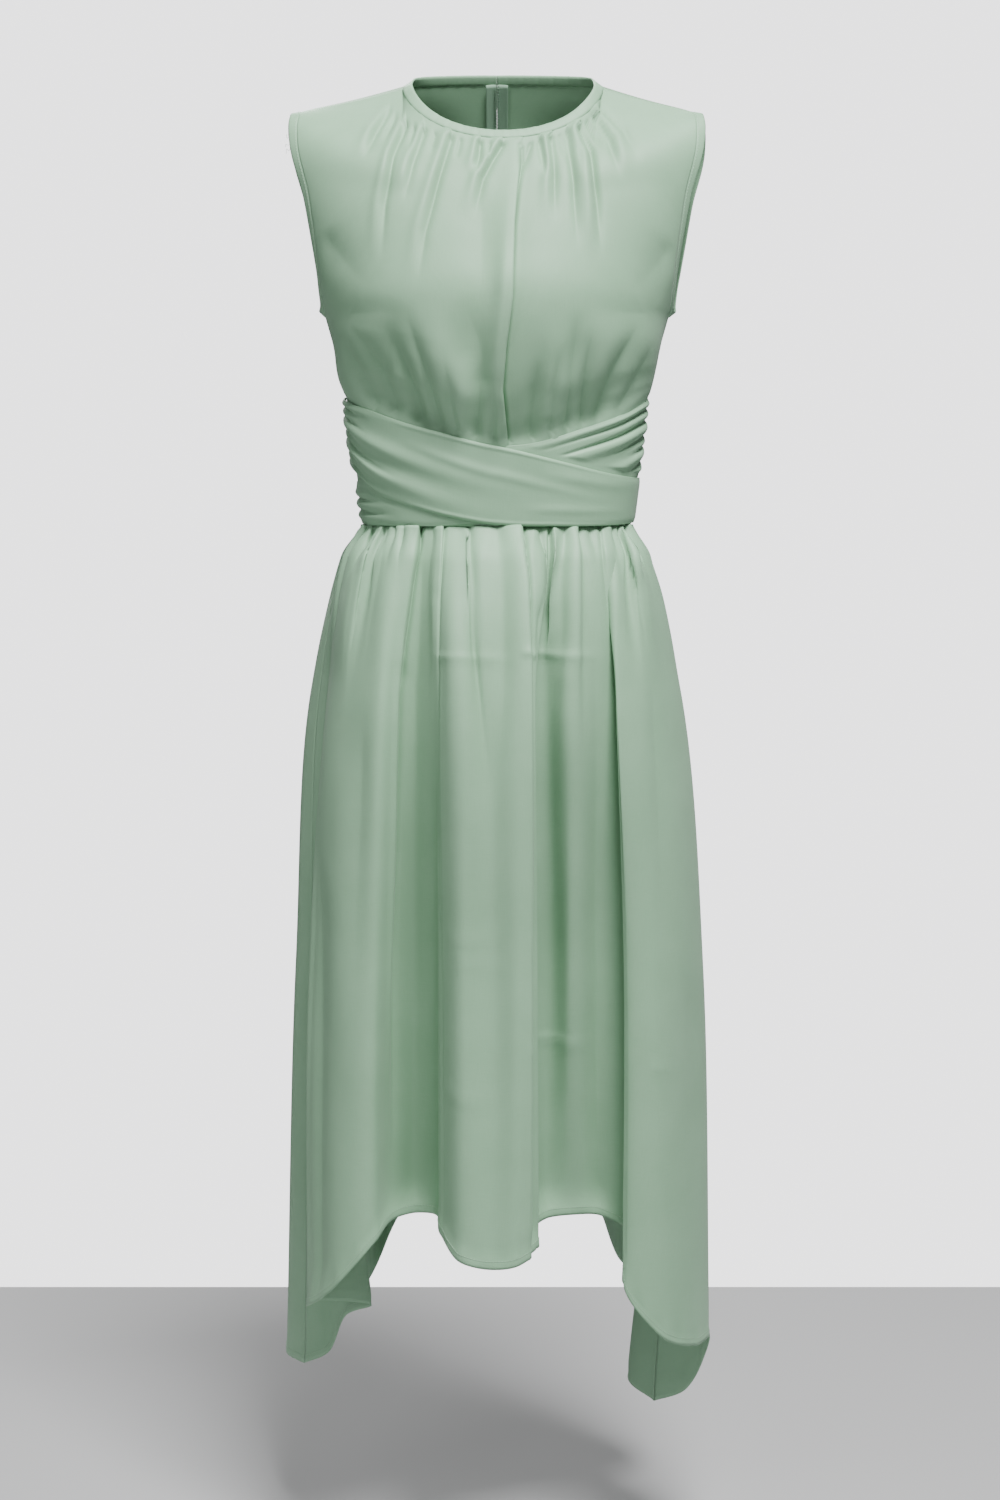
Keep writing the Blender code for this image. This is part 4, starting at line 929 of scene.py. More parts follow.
# %% Fold lines of the skirt
HIP_Z = -560
KNEE_Z = -865
LEVEL_KNOTS = [0.0, 0.2, 0.6, 1.0]
SKIRT_FRONT = [
    # waist turn (deg), hip x, y, knee x, y, hem x, y, z, from the right side seam to the left one
    (-90, -172, 4, -190, 8, -200, 14, -1300), (-86, -168, -4, -182, 2, -176, 2, -1286),
    (-82, -164, -12, -172, -6, -154, -12, -1240), (-79, -162, -22, -164, -20, -128, -26, -1226),
    (-75, -162, -34, -178, -38, -182, -46, -1214), (-68, -158, -52, -186, -66, -190, -76, -1210),
    (-57, -140, -88, -156, -114, -158, -127, -1174), (-46, -110, -117, -118, -132, -118, -133, -1127),
    (-38, -93, -112, -98, -106, -100, -100, -1114), (-29, -70, -118, -66, -106, -66, -90, -1112),
    (-22, -53, -136, -53, -146, -53, -156, -1117), (-13, -32, -150, -33, -171, -35, -187, -1131),
    (-1, -3, -147, -2, -168, -4, -191, -1137), (8, 20, -150, 20, -175, 18, -191, -1134),
    (14, 36, -148, 38, -164, 39, -170, -1124), (18, 34, -124, 31, -130, 34, -130, -1118),
    (23, 47, -117, 48, -108, 51, -102, -1114), (31, 70, -125, 70, -114, 72, -91, -1113),
    (41, 96, -113, 100, -100, 102, -87, -1115), (51, 116, -94, 128, -86, 130, -82, -1132),
    (57, 114, -112, 124, -116, 124, -122, -1176), (65, 140, -92, 154, -114, 158, -120, -1224),
    (74, 162, -56, 190, -68, 198, -78, -1250), (81, 174, -24, 207, -26, 216, -32, -1258),
    (86, 172, -6, 200, 2, 192, 4, -1327), (90, 168, 4, 188, 16, 164, 26, -1345),
]
SKIRT_BACK_LEFT = [
    (90, 168, 4, 188, 16, 164, 26, -1345), (95, 166, 20, 178, 34, 138, 56, -1333),
    (103, 168, 50, 192, 72, 190, 92, -1272), (115, 152, 88, 170, 118, 180, 140, -1246),
    (128, 122, 104, 134, 112, 137, 120, -1228), (142, 90, 132, 98, 156, 104, 172, -1176),
    (156, 54, 132, 54, 136, 54, 138, -1170), (168, 24, 142, 26, 164, 26, 180, -1168),
    (180, 0, 139, 0, 150, 0, 162, -1166),
]
SKIRT_BACK_RIGHT = [
    (180, 0, 139, 0, 150, 0, 162, -1166), (191, -28, 136, -30, 138, -30, 142, -1167),
    (204, -60, 140, -64, 168, -66, 184, -1170), (218, -94, 122, -100, 128, -104, 134, -1176),
    (232, -124, 112, -134, 140, -137, 158, -1252), (244, -148, 84, -160, 88, -166, 98, -1278),
    (256, -176, 54, -204, 62, -217, 68, -1290), (265, -180, 26, -206, 30, -219, 38, -1298),
    (270, -172, 4, -190, 8, -200, 14, -1300),
]
PUFF_DEPTH = 9.0


def skirt_lattice(table):
    """Points of the fold lines at waist, hip, knee and hem, and each line's place across."""
    lines = []
    for turn, hip_x, hip_y, knee_x, knee_y, hem_x, hem_y, hem_z in table:
        low = (hem_z + 1150) * 0.12
        lines.append([waist_point(np.array(math.radians(turn)), np.array(WAIST_Z)),
                      np.array([hip_x, hip_y, HIP_Z]) * MM,
                      np.array([knee_x, knee_y, KNEE_Z + low]) * MM,
                      np.array([hem_x, hem_y, hem_z]) * MM])
    lines = np.array(lines)
    steps = np.linalg.norm(np.diff(lines[:, 2], axis=0), axis=1)
    steps = steps + np.linalg.norm(np.diff(lines[:, 3], axis=0), axis=1)
    place = np.concatenate([[0.0], np.cumsum(steps)])
    return lines, place / place[-1]


def skirt_surface(table, share, level):
    lines, place = skirt_lattice(table)
    down = smooth(LEVEL_KNOTS, np.swapaxes(lines, 0, 1), level)
    return np.swapaxes(smooth(place, np.swapaxes(down, 0, 1), share), 0, 1)


print(len(SKIRT_FRONT), "fold lines in the skirt front")


# %% Gathers of the waist seam and creases of the skirt
WAIST_PLEATS = [
    # turn (deg), turn it drifts to, share of the length, width (deg), depth (mm), side that drops
    (-84, -86, 0.12, 1.8, 3.0, 0), (-73, -76, 0.22, 3.0, 4.4, 1), (-62, -64, 0.12, 1.6, 3.6, 0),
    (-54, -57, 0.28, 3.2, 5.0, 1), (-45.5, -46.5, 0.09, 1.3, 4.6, 0), (-39.5, -40.5, 0.08, 1.2, 4.6, 0),
    (-25, -26, 0.10, 1.5, 3.0, 0), (-9, -7.5, 0.30, 3.0, 5.0, 1), (0.5, 1, 0.08, 1.4, 2.4, 0),
    (16, 17, 0.10, 1.3, 4.0, 0), (20.5, 22, 0.26, 2.6, 6.4, -1), (27, 27, 0.09, 1.4, 3.2, 0),
    (33.5, 36, 0.38, 3.0, 5.0, 1), (40.5, 41, 0.08, 1.4, 2.8, 0), (56, 57, 0.10, 1.4, 3.0, 0),
    (61.5, 64, 0.26, 2.6, 5.2, -1), (70, 72, 0.16, 2.0, 4.6, 0), (80, 81, 0.12, 1.8, 3.2, 0),
]
SKIRT_CREASES = [
    # width, depth, lean, start, line seen from the front (mm)
    (7, 4.0, -1, 0.6, (-31, -440), (-29, -500), (-17, -575), (-3, -735)),
    (9, -2.2, 0, 0.2, (-42, -470), (-44, -640), (-46, -860)),
    (8, 3.0, 1, 0.3, (6, -450), (6, -560), (4, -700)),
    (11, -2.0, 0, 0.0, (12, -560), (8, -760), (6, -980)),
    (10, 2.4, 0, 0.0, (-22, -700), (-26, -880), (-30, -1060)),
    (6, 3.0, 1, 0.5, (60, -440), (62, -520), (58, -620)),
    (9, -3.0, 0, 0.0, (66, -540), (68, -640), (68, -720)),
    (6, 3.2, -1, 0.5, (84, -440), (88, -520), (90, -600)),
    (12, -2.4, 0, 0.0, (-146, -640), (-152, -820), (-152, -1020)),
    (9, 2.6, 0, 0.0, (-128, -600), (-134, -760), (-138, -930)),
    (12, 2.2, 0, 0.0, (-168, -760), (-172, -900), (-174, -1080)),
    (9, 2.6, 0, 0.0, (150, -560), (158, -720), (164, -900)),
    (12, -2.2, 0, 0.0, (172, -640), (182, -820), (188, -1040)),
    (12, 2.0, 0, 0.0, (190, -860), (198, -1000), (200, -1150)),
    (7, 3.0, -1, 0.5, (-108, -440), (-122, -510), (-132, -600)),
    (6, 2.6, -1, 0.5, (-122, -440), (-140, -500), (-150, -580)),
    (6, 2.6, 1, 0.5, (112, -440), (128, -500), (140, -580)),
    # the sharp edges of the deep folds, each lapping over the hollow beside it
    (18, 5.6, 2, 1.0, (-75, -434), (-83, -485), (-90, -545), (-95, -600), (-97, -700), (-100, -860),
     (-100, -1100)),
    (14, 2.6, 2, 1.0, (-51, -434), (-55, -500), (-58, -600), (-59, -760)),
    (17, 4.6, 2, 1.0, (24, -434), (30, -480), (33, -560), (34, -760), (34, -1150), (34, -1800)),
    (14, 2.4, -2, 0.9, (-26, -434), (-24, -490), (-18, -560), (-6, -680)),
    (14, 2.6, -2, 1.0, (101, -434), (104, -470), (107, -510), (109, -540)),
    (15, 3.4, 2, 0.9, (-122, -434), (-132, -480), (-141, -540), (-146, -590)),
    (14, 3.0, -2, 0.9, (122, -434), (136, -490), (147, -560)),
    # the hollows between the deep folds, and the gaps beside the folds at each side
    (16, 15.0, 0, 0.5, (-74, -455), (-81, -600), (-82, -760), (-80, -1100), (-80, -2000)),
    (14, 12.0, 0, 0.3, (45, -520), (47, -640), (50, -800), (54, -1100), (54, -2200)),
    (13, 11.0, 0, 0.0, (92, -500), (98, -640), (101, -800), (103, -1100), (103, -2000)),
    (10, 7.0, 0, 0.0, (-168, -640), (-176, -760), (-178, -900), (-178, -1100), (-178, -1900)),
    # marks of having been packed: shallow level ridges
    (4.0, -0.9, 0, 1.0, (-56, -556), (-20, -556), (30, -560)),
    (4.0, -1.4, 0, 1.0, (28, -552), (60, -556), (112, -558)),
    (4.5, -0.9, 0, 1.0, (34, -930), (70, -938), (112, -937)),
    (4.5, -0.7, 0, 1.0, (-48, -972), (-24, -976), (4, -975)),
    (4.5, -0.5, 0, 1.0, (-46, -822), (-10, -826), (20, -824)),
    (4.5, -0.5, 0, 1.0, (-36, -846), (10, -850), (34, -848)),
    (4.5, -0.6, 0, 1.0, (154, -958), (166, -962), (178, -961)),
    (6, 1.2, 0, 1.0, (-94, -572), (-88, -576), (-82, -574)),
    (5, 1.0, 0, 1.0, (-60, -497), (-56, -499), (-52, -498)),
]
print(len(WAIST_PLEATS), "waist gathers and", len(SKIRT_CREASES), "creases in the skirt front")


def waist_gathers(table, pleats, share, level):
    """Depth in mm of the gathers; each one drifts sideways and fades on its way down."""
    _, place = skirt_lattice(table)
    turn_of = smooth(place, [row[0] for row in table], share)[None, :]
    level = level[:, None]
    total = np.zeros((level.shape[0], len(share)))
    for turn, drift, length, width, depth, drops in pleats:
        down = np.clip(level / length, 0, 1)
        centre = turn + (drift - turn) * down
        beside = (turn_of - centre) / (width * (1 + 1.4 * down))
        if drops:
            shape = folded_edge(beside * drops, 2 * CUT_SHARE)
        else:
            away = np.abs(beside)
            shape = np.exp(-away ** 1.4) - 0.35 * np.exp(-((away - 2.2) / 1.1) ** 2)
        total += depth * (1 - ease(down)) * shape
    seam_fade = ease(share / 0.02) * ease((1 - share) / 0.02)
    puff = PUFF_DEPTH * ease(level / 0.05) * (1 - ease((level - 0.05) / 0.20))
    return total * seam_fade, puff


HEM_TURN = 9 * MM
HEM_STANDS = 0.8 * MM
HEM_LEVELS = [1 - 0.0150, 1 - 0.0125, 1 - 0.004, 1.0]
FRONT_SIZE = (412, 106)
BACK_SIZE = (152, 122)
PACKED_LEVELS = [0.1853, 0.1897, 0.1941, 0.1985, 0.6981, 0.7043]
SEAM_ROLL_COLUMNS = 4


def to_hem(grid):
    """Distance of every point of a skirt grid from the hem below it."""
    down = grid_lengths(grid, 0)
    return down[-1:] - down


def make_skirt(name, table, size, pleats, creases, first_edge, last_edge):
    """One skirt panel of columns x rows; an edge gives the axis and shift of its gap and its rim."""
    front = name == "skirt_front"
    mirror = -1.0 if name.endswith("right") else 1.0
    share = np.linspace(0, 1, size[0])
    level = np.linspace(0, 1, size[1]) ** 1.15
    level = np.sort(np.concatenate([level[:-3], PACKED_LEVELS, HEM_LEVELS]))
    grid = skirt_surface(table, share, level)
    normals = grid_normals(grid)
    outward = flat(normals, (1, 1, 0))
    facing = np.sum(outward * flat(grid, (1, 1, 0)), axis=-1)
    outward[:, 0] = first_edge[2]
    outward[:, -1] = last_edge[2]
    gathers, puff = waist_gathers(table, pleats, share, level)
    gathers = gathers * ease((facing - 0.1) / 0.5)
    gathers = gathers * (0.45 + 0.55 * ease(level / 0.014))[:, None]
    grid = press(grid, outward, gathers - puff)
    normals = grid_normals(grid)
    sides = (ease(share / 0.03) * ease((1 - share) / 0.03))[None, :]
    pressed, sideways = crease_depth(grid[..., 0] * mirror / MM, grid[..., 2] / MM, creases)
    shown = sides * (0.4 + 0.6 * ease((1 - level) / 0.05))[:, None]
    shown = shown * ease(normals[..., 1] * (-1 if front else 1) / 0.3)
    pressed = pressed * shown
    grid = press(grid, normals, pressed)
    grid[..., 0] += mirror * sideways * shown * MM
    normals = grid_normals(grid)
    hem = to_hem(grid)
    normals[0] = flat(normals[0], (1, 1, 0))
    turned = HEM_STANDS * (1 - ease((hem - HEM_TURN * 0.8) / (HEM_TURN * 0.35)))
    ripple = 0.5 * MM * np.sin(share * size[0] * 0.55)[None, :]
    ripple = ripple * np.exp(-((hem - HEM_TURN) / (7 * MM)) ** 2)
    grid = grid + normals * turned[..., None]
    grid = grid + normals * (ripple * sides)[..., None]
    for column, (axis, gap, across) in ((0, first_edge), (-1, last_edge)):
        beside = grid - grid[:, column:column + 1 or None]
        roll = seam_roll(np.linalg.norm(beside, axis=-1), 0.7 * MM, 2.2 * MM)
        near = np.zeros(size[0], bool)
        near[slice(SEAM_ROLL_COLUMNS) if column == 0 else slice(-SEAM_ROLL_COLUMNS, None)] = True
        grid = grid - normals * (roll * near[None, :])[..., None]
        grid[:, column, axis] += gap
        normals[:, column] = np.array(across, float)
    GRIDS[name] = (grid, normals, share, level)
    return cloth_shell(name + "_cloth", grid, normals, sage_cloth, gathers + pressed)


HALF_GAP = 0.02 * MM
skirt_front, skirt_front_area = make_skirt(
    "skirt_front", SKIRT_FRONT, FRONT_SIZE, WAIST_PLEATS, SKIRT_CREASES,
    (1, -HALF_GAP, (-1, 0, 0)), (1, -HALF_GAP, (1, 0, 0)))

# %% [markdown]
# ## The backs of the skirt
# Behind, the same gathers go on round to the middle seam. They are not shown, so they are made like
# the ones in front: uneven in depth and length, and never at equal steps.

# %% Make the backs of the skirt


def back_gathers(low, high, count=14):
    rows = []
    for k in range(count):
        turn = low + (high - low) * (k + 0.5 + 0.22 * math.sin(k * 2.4)) / count
        length = 0.13 + 0.06 * (k % 3) + 0.05 * math.sin(k * 1.7)
        drops = (1, 0, -1, 0, 1, -1, 0)[k % 7]
        width = 1.7 + 0.3 * (k % 2) + 1.3 * abs(drops)
        drift = turn + 1.6 * math.sin(k * 1.3)
        rows.append((turn, drift, length * 1.3, width, 3.6 + 1.2 * ((k * 2) % 3), drops))
    return rows


BACK_SKIRT_CREASES = [
    # width, depth, lean, start, line seen from behind, x outwards from the middle (mm)
    (8, 3.2, -1, 0.5, (20, -440), (26, -560), (34, -720)),
    (8, 3.0, 1, 0.5, (64, -440), (72, -540), (78, -680)),
    (12, -2.2, 0, 0.0, (98, -620), (104, -800), (108, -1000)),
    (10, 2.6, 0, 0.0, (118, -560), (128, -700), (134, -900)),
    (12, 2.2, 0, 0.0, (60, -760), (62, -900), (66, -1080)),
    (2.6, -0.9, 0, 1.0, (14, -556), (60, -558), (104, -556)),
    (2.6, -0.8, 0, 1.0, (24, -936), (64, -938), (96, -937)),
]
skirt_left, skirt_left_area = make_skirt(
    "skirt_back_left", SKIRT_BACK_LEFT, BACK_SIZE, back_gathers(90, 180), BACK_SKIRT_CREASES,
    (1, HALF_GAP, (1, 0, 0)), (0, HALF_GAP, (0, 1, 0)))
skirt_right, skirt_right_area = make_skirt(
    "skirt_back_right", SKIRT_BACK_RIGHT, BACK_SIZE, back_gathers(180, 270), BACK_SKIRT_CREASES,
    (0, -HALF_GAP, (0, 1, 0)), (1, HALF_GAP, (-1, 0, 0)))

# %% [markdown]
# ## Bound and turned edges
# The neck is finished with a folded strip that is sewn over the gathers. Each armhole is turned in a
# narrow fold and topstitched. Both are rounded strips whose root follows the panels' own edge, so
# they sit exactly where the solids are.

# %% Neck binding and armhole edges
STRIP_RINGS = 7
STRIP_FULLNESS = 0.45
NECK_POINTS = 300
NECK_OVERLAP = 1.8 * MM
NECK_BINDING_THICK = 2.6 * MM
NECK_BLURS = 24
LIES_BESIDE_SEAM = 20 * MM
ARMHOLE_POINTS = 260
ARMHOLE_OVERLAP = 0.6 * MM
ARMHOLE_THICK = 1.3 * MM
SET_DEEPER = 0.35 * MM


def at_places(places, lengths, line):
    """Points of a line at given distances along it."""
    return np.stack([np.interp(places, lengths, line[:, k]) for k in range(3)], axis=-1)


def along_line(line, others, count, closed=False):
    """Even steps along a line, with other rows of vectors carried with it."""
    if closed:
        line = np.concatenate([line, line[:1]])
        others = [np.concatenate([other, other[:1]]) for other in others]
    lengths = path_length(line)
    even = np.linspace(0, lengths[-1], count, endpoint=not closed)
    return at_places(even, lengths, line), [unit(at_places(even, lengths, o)) for o in others]


def edge_frames(points, normals, away, closed=False):
    """Reach and normal vectors that carry a panel on past its edge line."""
    if closed:
        looped = np.concatenate([points[-1:], points, points[:1]])
        tangent = unit(looped[2:] - looped[:-2])
    else:
        tangent = heading(points)
    normal = square_to(normals, tangent)
    reach = unit(np.cross(tangent, normal))
    return reach * np.sign(np.sum(reach * away, axis=-1, keepdims=True)), normal


def blur(values, steps, closed=False):
    """Soften the turn of vectors along a line, so that no corner shows."""
    for _ in range(steps):
        if closed:
            values = (np.roll(values, 1, axis=0) + 2 * values + np.roll(values, -1, axis=0)) / 4
        else:
            inner = (values[:-2] + 2 * values[1:-1] + values[2:]) / 4
            values = np.concatenate([values[:1], inner, values[-1:]])
    return unit(values)


def rounded_strip(name, root, reach, normal, width, thick, closed):
    """Narrow folded strip: root line, reach vectors to its free edge, outward normals."""
    half = [(0.5 - 0.5 * math.cos(angle), 0.5 * math.sin(angle) ** STRIP_FULLNESS)
            for angle in np.linspace(0, math.pi, STRIP_RINGS)]
    section = np.array(half + [(along, -high) for along, high in half[-2:0:-1]])
    points = (root[:, None] + reach[:, None] * (section[None, :, :1] * width)
              + normal[:, None] * (section[None, :, 1:] * thick))
    count, size = points.shape[:2]
    ids = np.arange(count * size).reshape(count, size)
    ids = np.concatenate([ids, ids[:, :1]], axis=1)
    if closed:
        ids = np.concatenate([ids, ids[:1]], axis=0)
    faces = np.stack([ids[:-1, :-1], ids[:-1, 1:], ids[1:, 1:], ids[1:, :-1]], axis=-1)
    faces = faces.reshape(-1, 4).tolist()
    if not closed:
        faces.append(list(range(size))[::-1])
        faces.append(list(range((count - 1) * size, count * size)))
    piece = new_piece(name, points.reshape(-1, 3), faces, sage_cloth)
    solid = bmesh.new()
    solid.from_mesh(piece.data)
    bmesh.ops.recalc_face_normals(solid, faces=solid.faces)
    solid.to_mesh(piece.data)
    solid.free()
    place = np.zeros(points.shape)
    place[..., 0] = path_length(points[:, 0])[:, None]
    place[..., 1] = np.linspace(0, 2 * width, size)[None, :]
    store_thread_place(piece.data, place.reshape(-1, 3))
    print(name, round(float(path_length(root)[-1]), 3), "m long")
    return piece


def make_neck_binding():
    parts = []
    for key, turned in (("back_right", True), ("neck_front", False), ("back_left", True)):
        grid, normals, share, _ = GRIDS[key]
        keep = np.abs(share) <= NECK_SHARE + (ROUNDING if key == "neck_front" else -ROUNDING)
        part = [grid[0, keep], grid[3, keep], normals[3, keep]]
        parts.append([rows[::-1] for rows in part] if turned else part)
    line, below, normals = [np.concatenate(rows) for rows in zip(*parts)]
    line, (away, normal) = along_line(line, [line - below, normals], NECK_POINTS)
    lying = np.exp(-(line[:, 1:2] / LIES_BESIDE_SEAM) ** 2)
    level_normal = np.sign(line[:, :1]) * np.array([0.33, 0, 0]) + np.array([0, 0, 0.94])
    normal = normal * (1 - lying) + lying * level_normal
    reach, normal = edge_frames(line, blur(normal, 10), away)
    reach, normal = blur(reach, NECK_BLURS), blur(normal, NECK_BLURS)
    for _ in range(NECK_BLURS):
        line[1:-1] = (line[:-2] + 2 * line[1:-1] + line[2:]) / 4
    line[0, 0], line[-1, 0] = -HALF_GAP, HALF_GAP
    for end in (0, -1):
        reach[end] = flat(reach[end], (0, 1, 1))
        normal[end] = flat(normal[end], (0, 1, 1))
    step = np.arange(len(line))[:, None]
    ripple = 0.25 * MM * np.sin(step * 1.1) * np.sin(step * 0.37)
    root = line - reach * NECK_OVERLAP - normal * (SET_DEEPER - ripple)
    return rounded_strip("neck_binding_cloth", root, reach, normal, BINDING_WIDTH + NECK_OVERLAP,
                         NECK_BINDING_THICK, closed=False)


neck_binding = make_neck_binding()


def make_armhole_edge(name, side):
    front, front_normals, _, front_level = GRIDS["front"]
    back, back_normals, _, back_level = GRIDS["back_left" if side > 0 else "back_right"]
    column = -1 if side > 0 else 0
    beside = -5 if side > 0 else 4
    front_rows = np.flatnonzero(front_level <= UNDERARM_FRONT + ROUNDING)
    back_rows = np.flatnonzero(back_level < UNDERARM_BACK - ROUNDING)[1:][::-1]
    line = np.concatenate([front[front_rows, column], back[back_rows, column]])
    inner = np.concatenate([front[front_rows, beside], back[back_rows, beside]])
    normals = np.concatenate([front_normals[front_rows, column], back_normals[back_rows, column]])
    away = unit(line - inner) + unit(line.mean(axis=0) - line)
    line, (away, normal) = along_line(line, [away, normals], ARMHOLE_POINTS, closed=True)
    reach, normal = edge_frames(line, blur(normal, 10, True), away, closed=True)
    reach, normal = blur(reach, 6, True), blur(normal, 6, True)
    root = line - reach * ARMHOLE_OVERLAP - normal * SET_DEEPER
    piece = rounded_strip(name, root, reach, normal, BINDING_WIDTH + ARMHOLE_OVERLAP, ARMHOLE_THICK,
                          closed=True)
    return piece, (line, reach, normal)


armhole_left, left_edge = make_armhole_edge("armhole_edge_left_cloth", 1)
armhole_right, right_edge = make_armhole_edge("armhole_edge_right_cloth", -1)

# %% [markdown]
# ## Stitches
# A line of stitches is what makes an edge look sewn. Each stitch is a short rounded bead of thread,
# three millimetres from its neighbour, that dips into the cloth at both ends. One small template is
# turned and placed along the line, so a whole seam is a single light mesh.

# %% Lay stitches along a line
STITCH_PITCH = 3.0 * MM
STITCH_LENGTH = 2.4 * MM
STITCH_RADIUS = 0.24 * MM
STITCH_RINGS = [
    # place along, size, lift
    (-0.5, 0.25, -0.9), (-0.38, 0.85, -0.1), (0.0, 1.0, 0.35), (0.38, 0.85, -0.1), (0.5, 0.25, -0.9),
]
BEAD_SIDES = 6
TOPSTITCH_PLACE = 1.6 * MM
TOPSTITCH_HEIGHT = 0.30 * MM
ON_CLOTH = 0.10 * MM


def tubes(name, points, rings, sides, material):
    """Closed tubes with the same number of rings; the points run ring by ring, tube by tube."""
    ids = np.arange(rings * sides).reshape(rings, sides)
    after = np.roll(ids, -1, axis=1)
    walls = np.stack([ids[:-1], after[:-1], after[1:], ids[1:]], axis=-1).reshape(-1, 4)
    ends = np.array([ids[0, ::-1], ids[-1]])
    points = np.asarray(points).reshape(-1, 3)
    first = np.arange(0, len(points), rings * sides)[:, None, None]
    faces = (walls + first).reshape(-1, 4).tolist() + (ends + first).reshape(-1, sides).tolist()
    return new_piece(name, points, faces, material)


def lay_beads(name, rings, length, radius, middle, axes, material):
    """Copies of one small rounded bead, each turned by its own three axes."""
    turns = [2 * math.pi * k / BEAD_SIDES for k in range(BEAD_SIDES)]
    bead = np.array([(along * length, math.cos(turn) * size * radius,
                      (math.sin(turn) * size + lift) * radius)
                     for along, size, lift in rings for turn in turns])
    placed = middle[:, None]
    for k, axis in enumerate(axes):
        placed = placed + axis[:, None] * bead[None, :, k:k + 1]
    return tubes(name, placed, len(rings), BEAD_SIDES, material)


def stitches(name, line, normals, closed=False):
    """One mesh of stitches along a line of surface points."""
    if closed:
        line = np.concatenate([line, line[:1]])
        normals = np.concatenate([normals, normals[:1]])
    lengths = path_length(line)
    count = int(lengths[-1] / STITCH_PITCH)
    middle = (np.arange(count) + 0.5) * lengths[-1] / count
    before, centre, after = [at_places(middle + move, lengths, line)
                             for move in (-STITCH_LENGTH / 2, 0, STITCH_LENGTH / 2)]
    ahead = unit(after - before)
    beside = unit(np.cross(unit(at_places(middle, lengths, normals)), ahead))
    axes = (ahead, beside, np.cross(ahead, beside))
    print(name, count, "stitches on", round(float(lengths[-1]), 3), "m")
    return lay_beads(name, STITCH_RINGS, STITCH_LENGTH, STITCH_RADIUS, centre, axes, sewing_thread)


seam_pieces = {}
for name, (line, reach, normal) in (("armhole_left_stitches", left_edge),
                                    ("armhole_right_stitches", right_edge)):
    line = line + reach * TOPSTITCH_PLACE + normal * TOPSTITCH_HEIGHT
    seam_pieces[name] = stitches(name, line, normal, closed=True)


def hem_stitches(name, key):
    grid, normals, _, _ = GRIDS[key]
    hem = to_hem(grid)[::-1]
    line, up = [np.array([at_places(HEM_TURN * 0.85, hem[:, column], rows[::-1, column])
                          for column in range(grid.shape[1])]) for rows in (grid, normals)]
    up = unit(up)
    up[0], up[-1] = up[1], up[-2]
    return stitches(name, line + up * ON_CLOTH, up)


for key in ("skirt_front", "skirt_back_left", "skirt_back_right"):
    seam_pieces[key + "_hem_stitches"] = hem_stitches(key + "_hem_stitches", key)

# %% [markdown]
# ## The concealed zip
# The dress closes with a concealed zip down the middle of the back. From outside only the seam, the
# slider and its tab show. Inside lie two woven tapes and the coil whose teeth hold the seam shut, and
# they can be seen through the neck. The slider and the tab are the frame's own parts and only get
# their painted finish.

# %% Make the tapes and the coil
TAPE_WIDTH = 11 * MM
TAPE_THICK = 0.5 * MM
TAPE_STARTS = 0.9 * MM
TAPE_COLUMNS = 8
TAPE_DEPTH = 1.6 * MM
TAPE_CURLS = 2.2 * MM
ZIP_END_LEVEL = 0.16
ZIP_POINTS = 150
COIL_PITCH = 1.5 * MM
COIL_HALF_LENGTH = 1.7 * MM
COIL_RADIUS = 0.42 * MM
COIL_DEPTH = 2.7 * MM
COIL_SIDEWAYS = 0.7 * MM
COIL_RINGS = [
    # place along, size, lift
    (-1.0, 0.35, 0), (-0.8, 0.9, 0), (0.0, 1.0, 0), (0.8, 0.9, 0), (1.0, 0.35, 0),
]


def back_seam(side):
    """Points down the inside of the middle back seam, from the neck to below the waist."""
    back = GRIDS["back_left" if side > 0 else "back_right"]
    skirt = GRIDS["skirt_back_left" if side > 0 else "skirt_back_right"]
    column = 0 if side > 0 else -1
    skirt_column = -1 if side > 0 else 0
    upper = back[0][:, column]
    band_z = np.linspace(BACK_BAND_TOP_Z, WAIST_Z, 14)
    band = np.stack([0 * band_z, form_size(band_z, 3), band_z], axis=-1)
    lower = skirt[0][skirt[3] < ZIP_END_LEVEL, skirt_column]
    seam = np.concatenate([upper, band[1:-1], lower[1:]])
    lengths = path_length(seam)
    seam = at_places(np.linspace(0, lengths[-1], ZIP_POINTS), lengths, seam)
    seam[:, 0] = 0
    return seam


def zip_directions(line):
    """Directions along the zip and into the dress at the points of a line."""
    ahead = heading(line)
    inward = unit(np.cross(ahead, np.array([1.0, 0, 0])))
    return ahead, inward * np.sign(-inward[:, 1:2])


def make_tape(name, side):
    seam = back_seam(side)
    _, inward = zip_directions(seam)
    across = np.linspace(TAPE_STARTS, TAPE_WIDTH, TAPE_COLUMNS)
    depth = TAPE_DEPTH + TAPE_CURLS * (across / TAPE_WIDTH) ** 2
    grid = seam[:, None] + inward[:, None] * depth[None, :, None]
    grid = grid + np.array([side, 0, 0]) * across[None, :, None]
    grid = grid[:, ::-1] if side < 0 else grid
    normals = np.broadcast_to(inward[:, None], grid.shape).copy()
    return cloth_shell(name, grid, normals, tape_cloth, thickness=TAPE_THICK)[0]


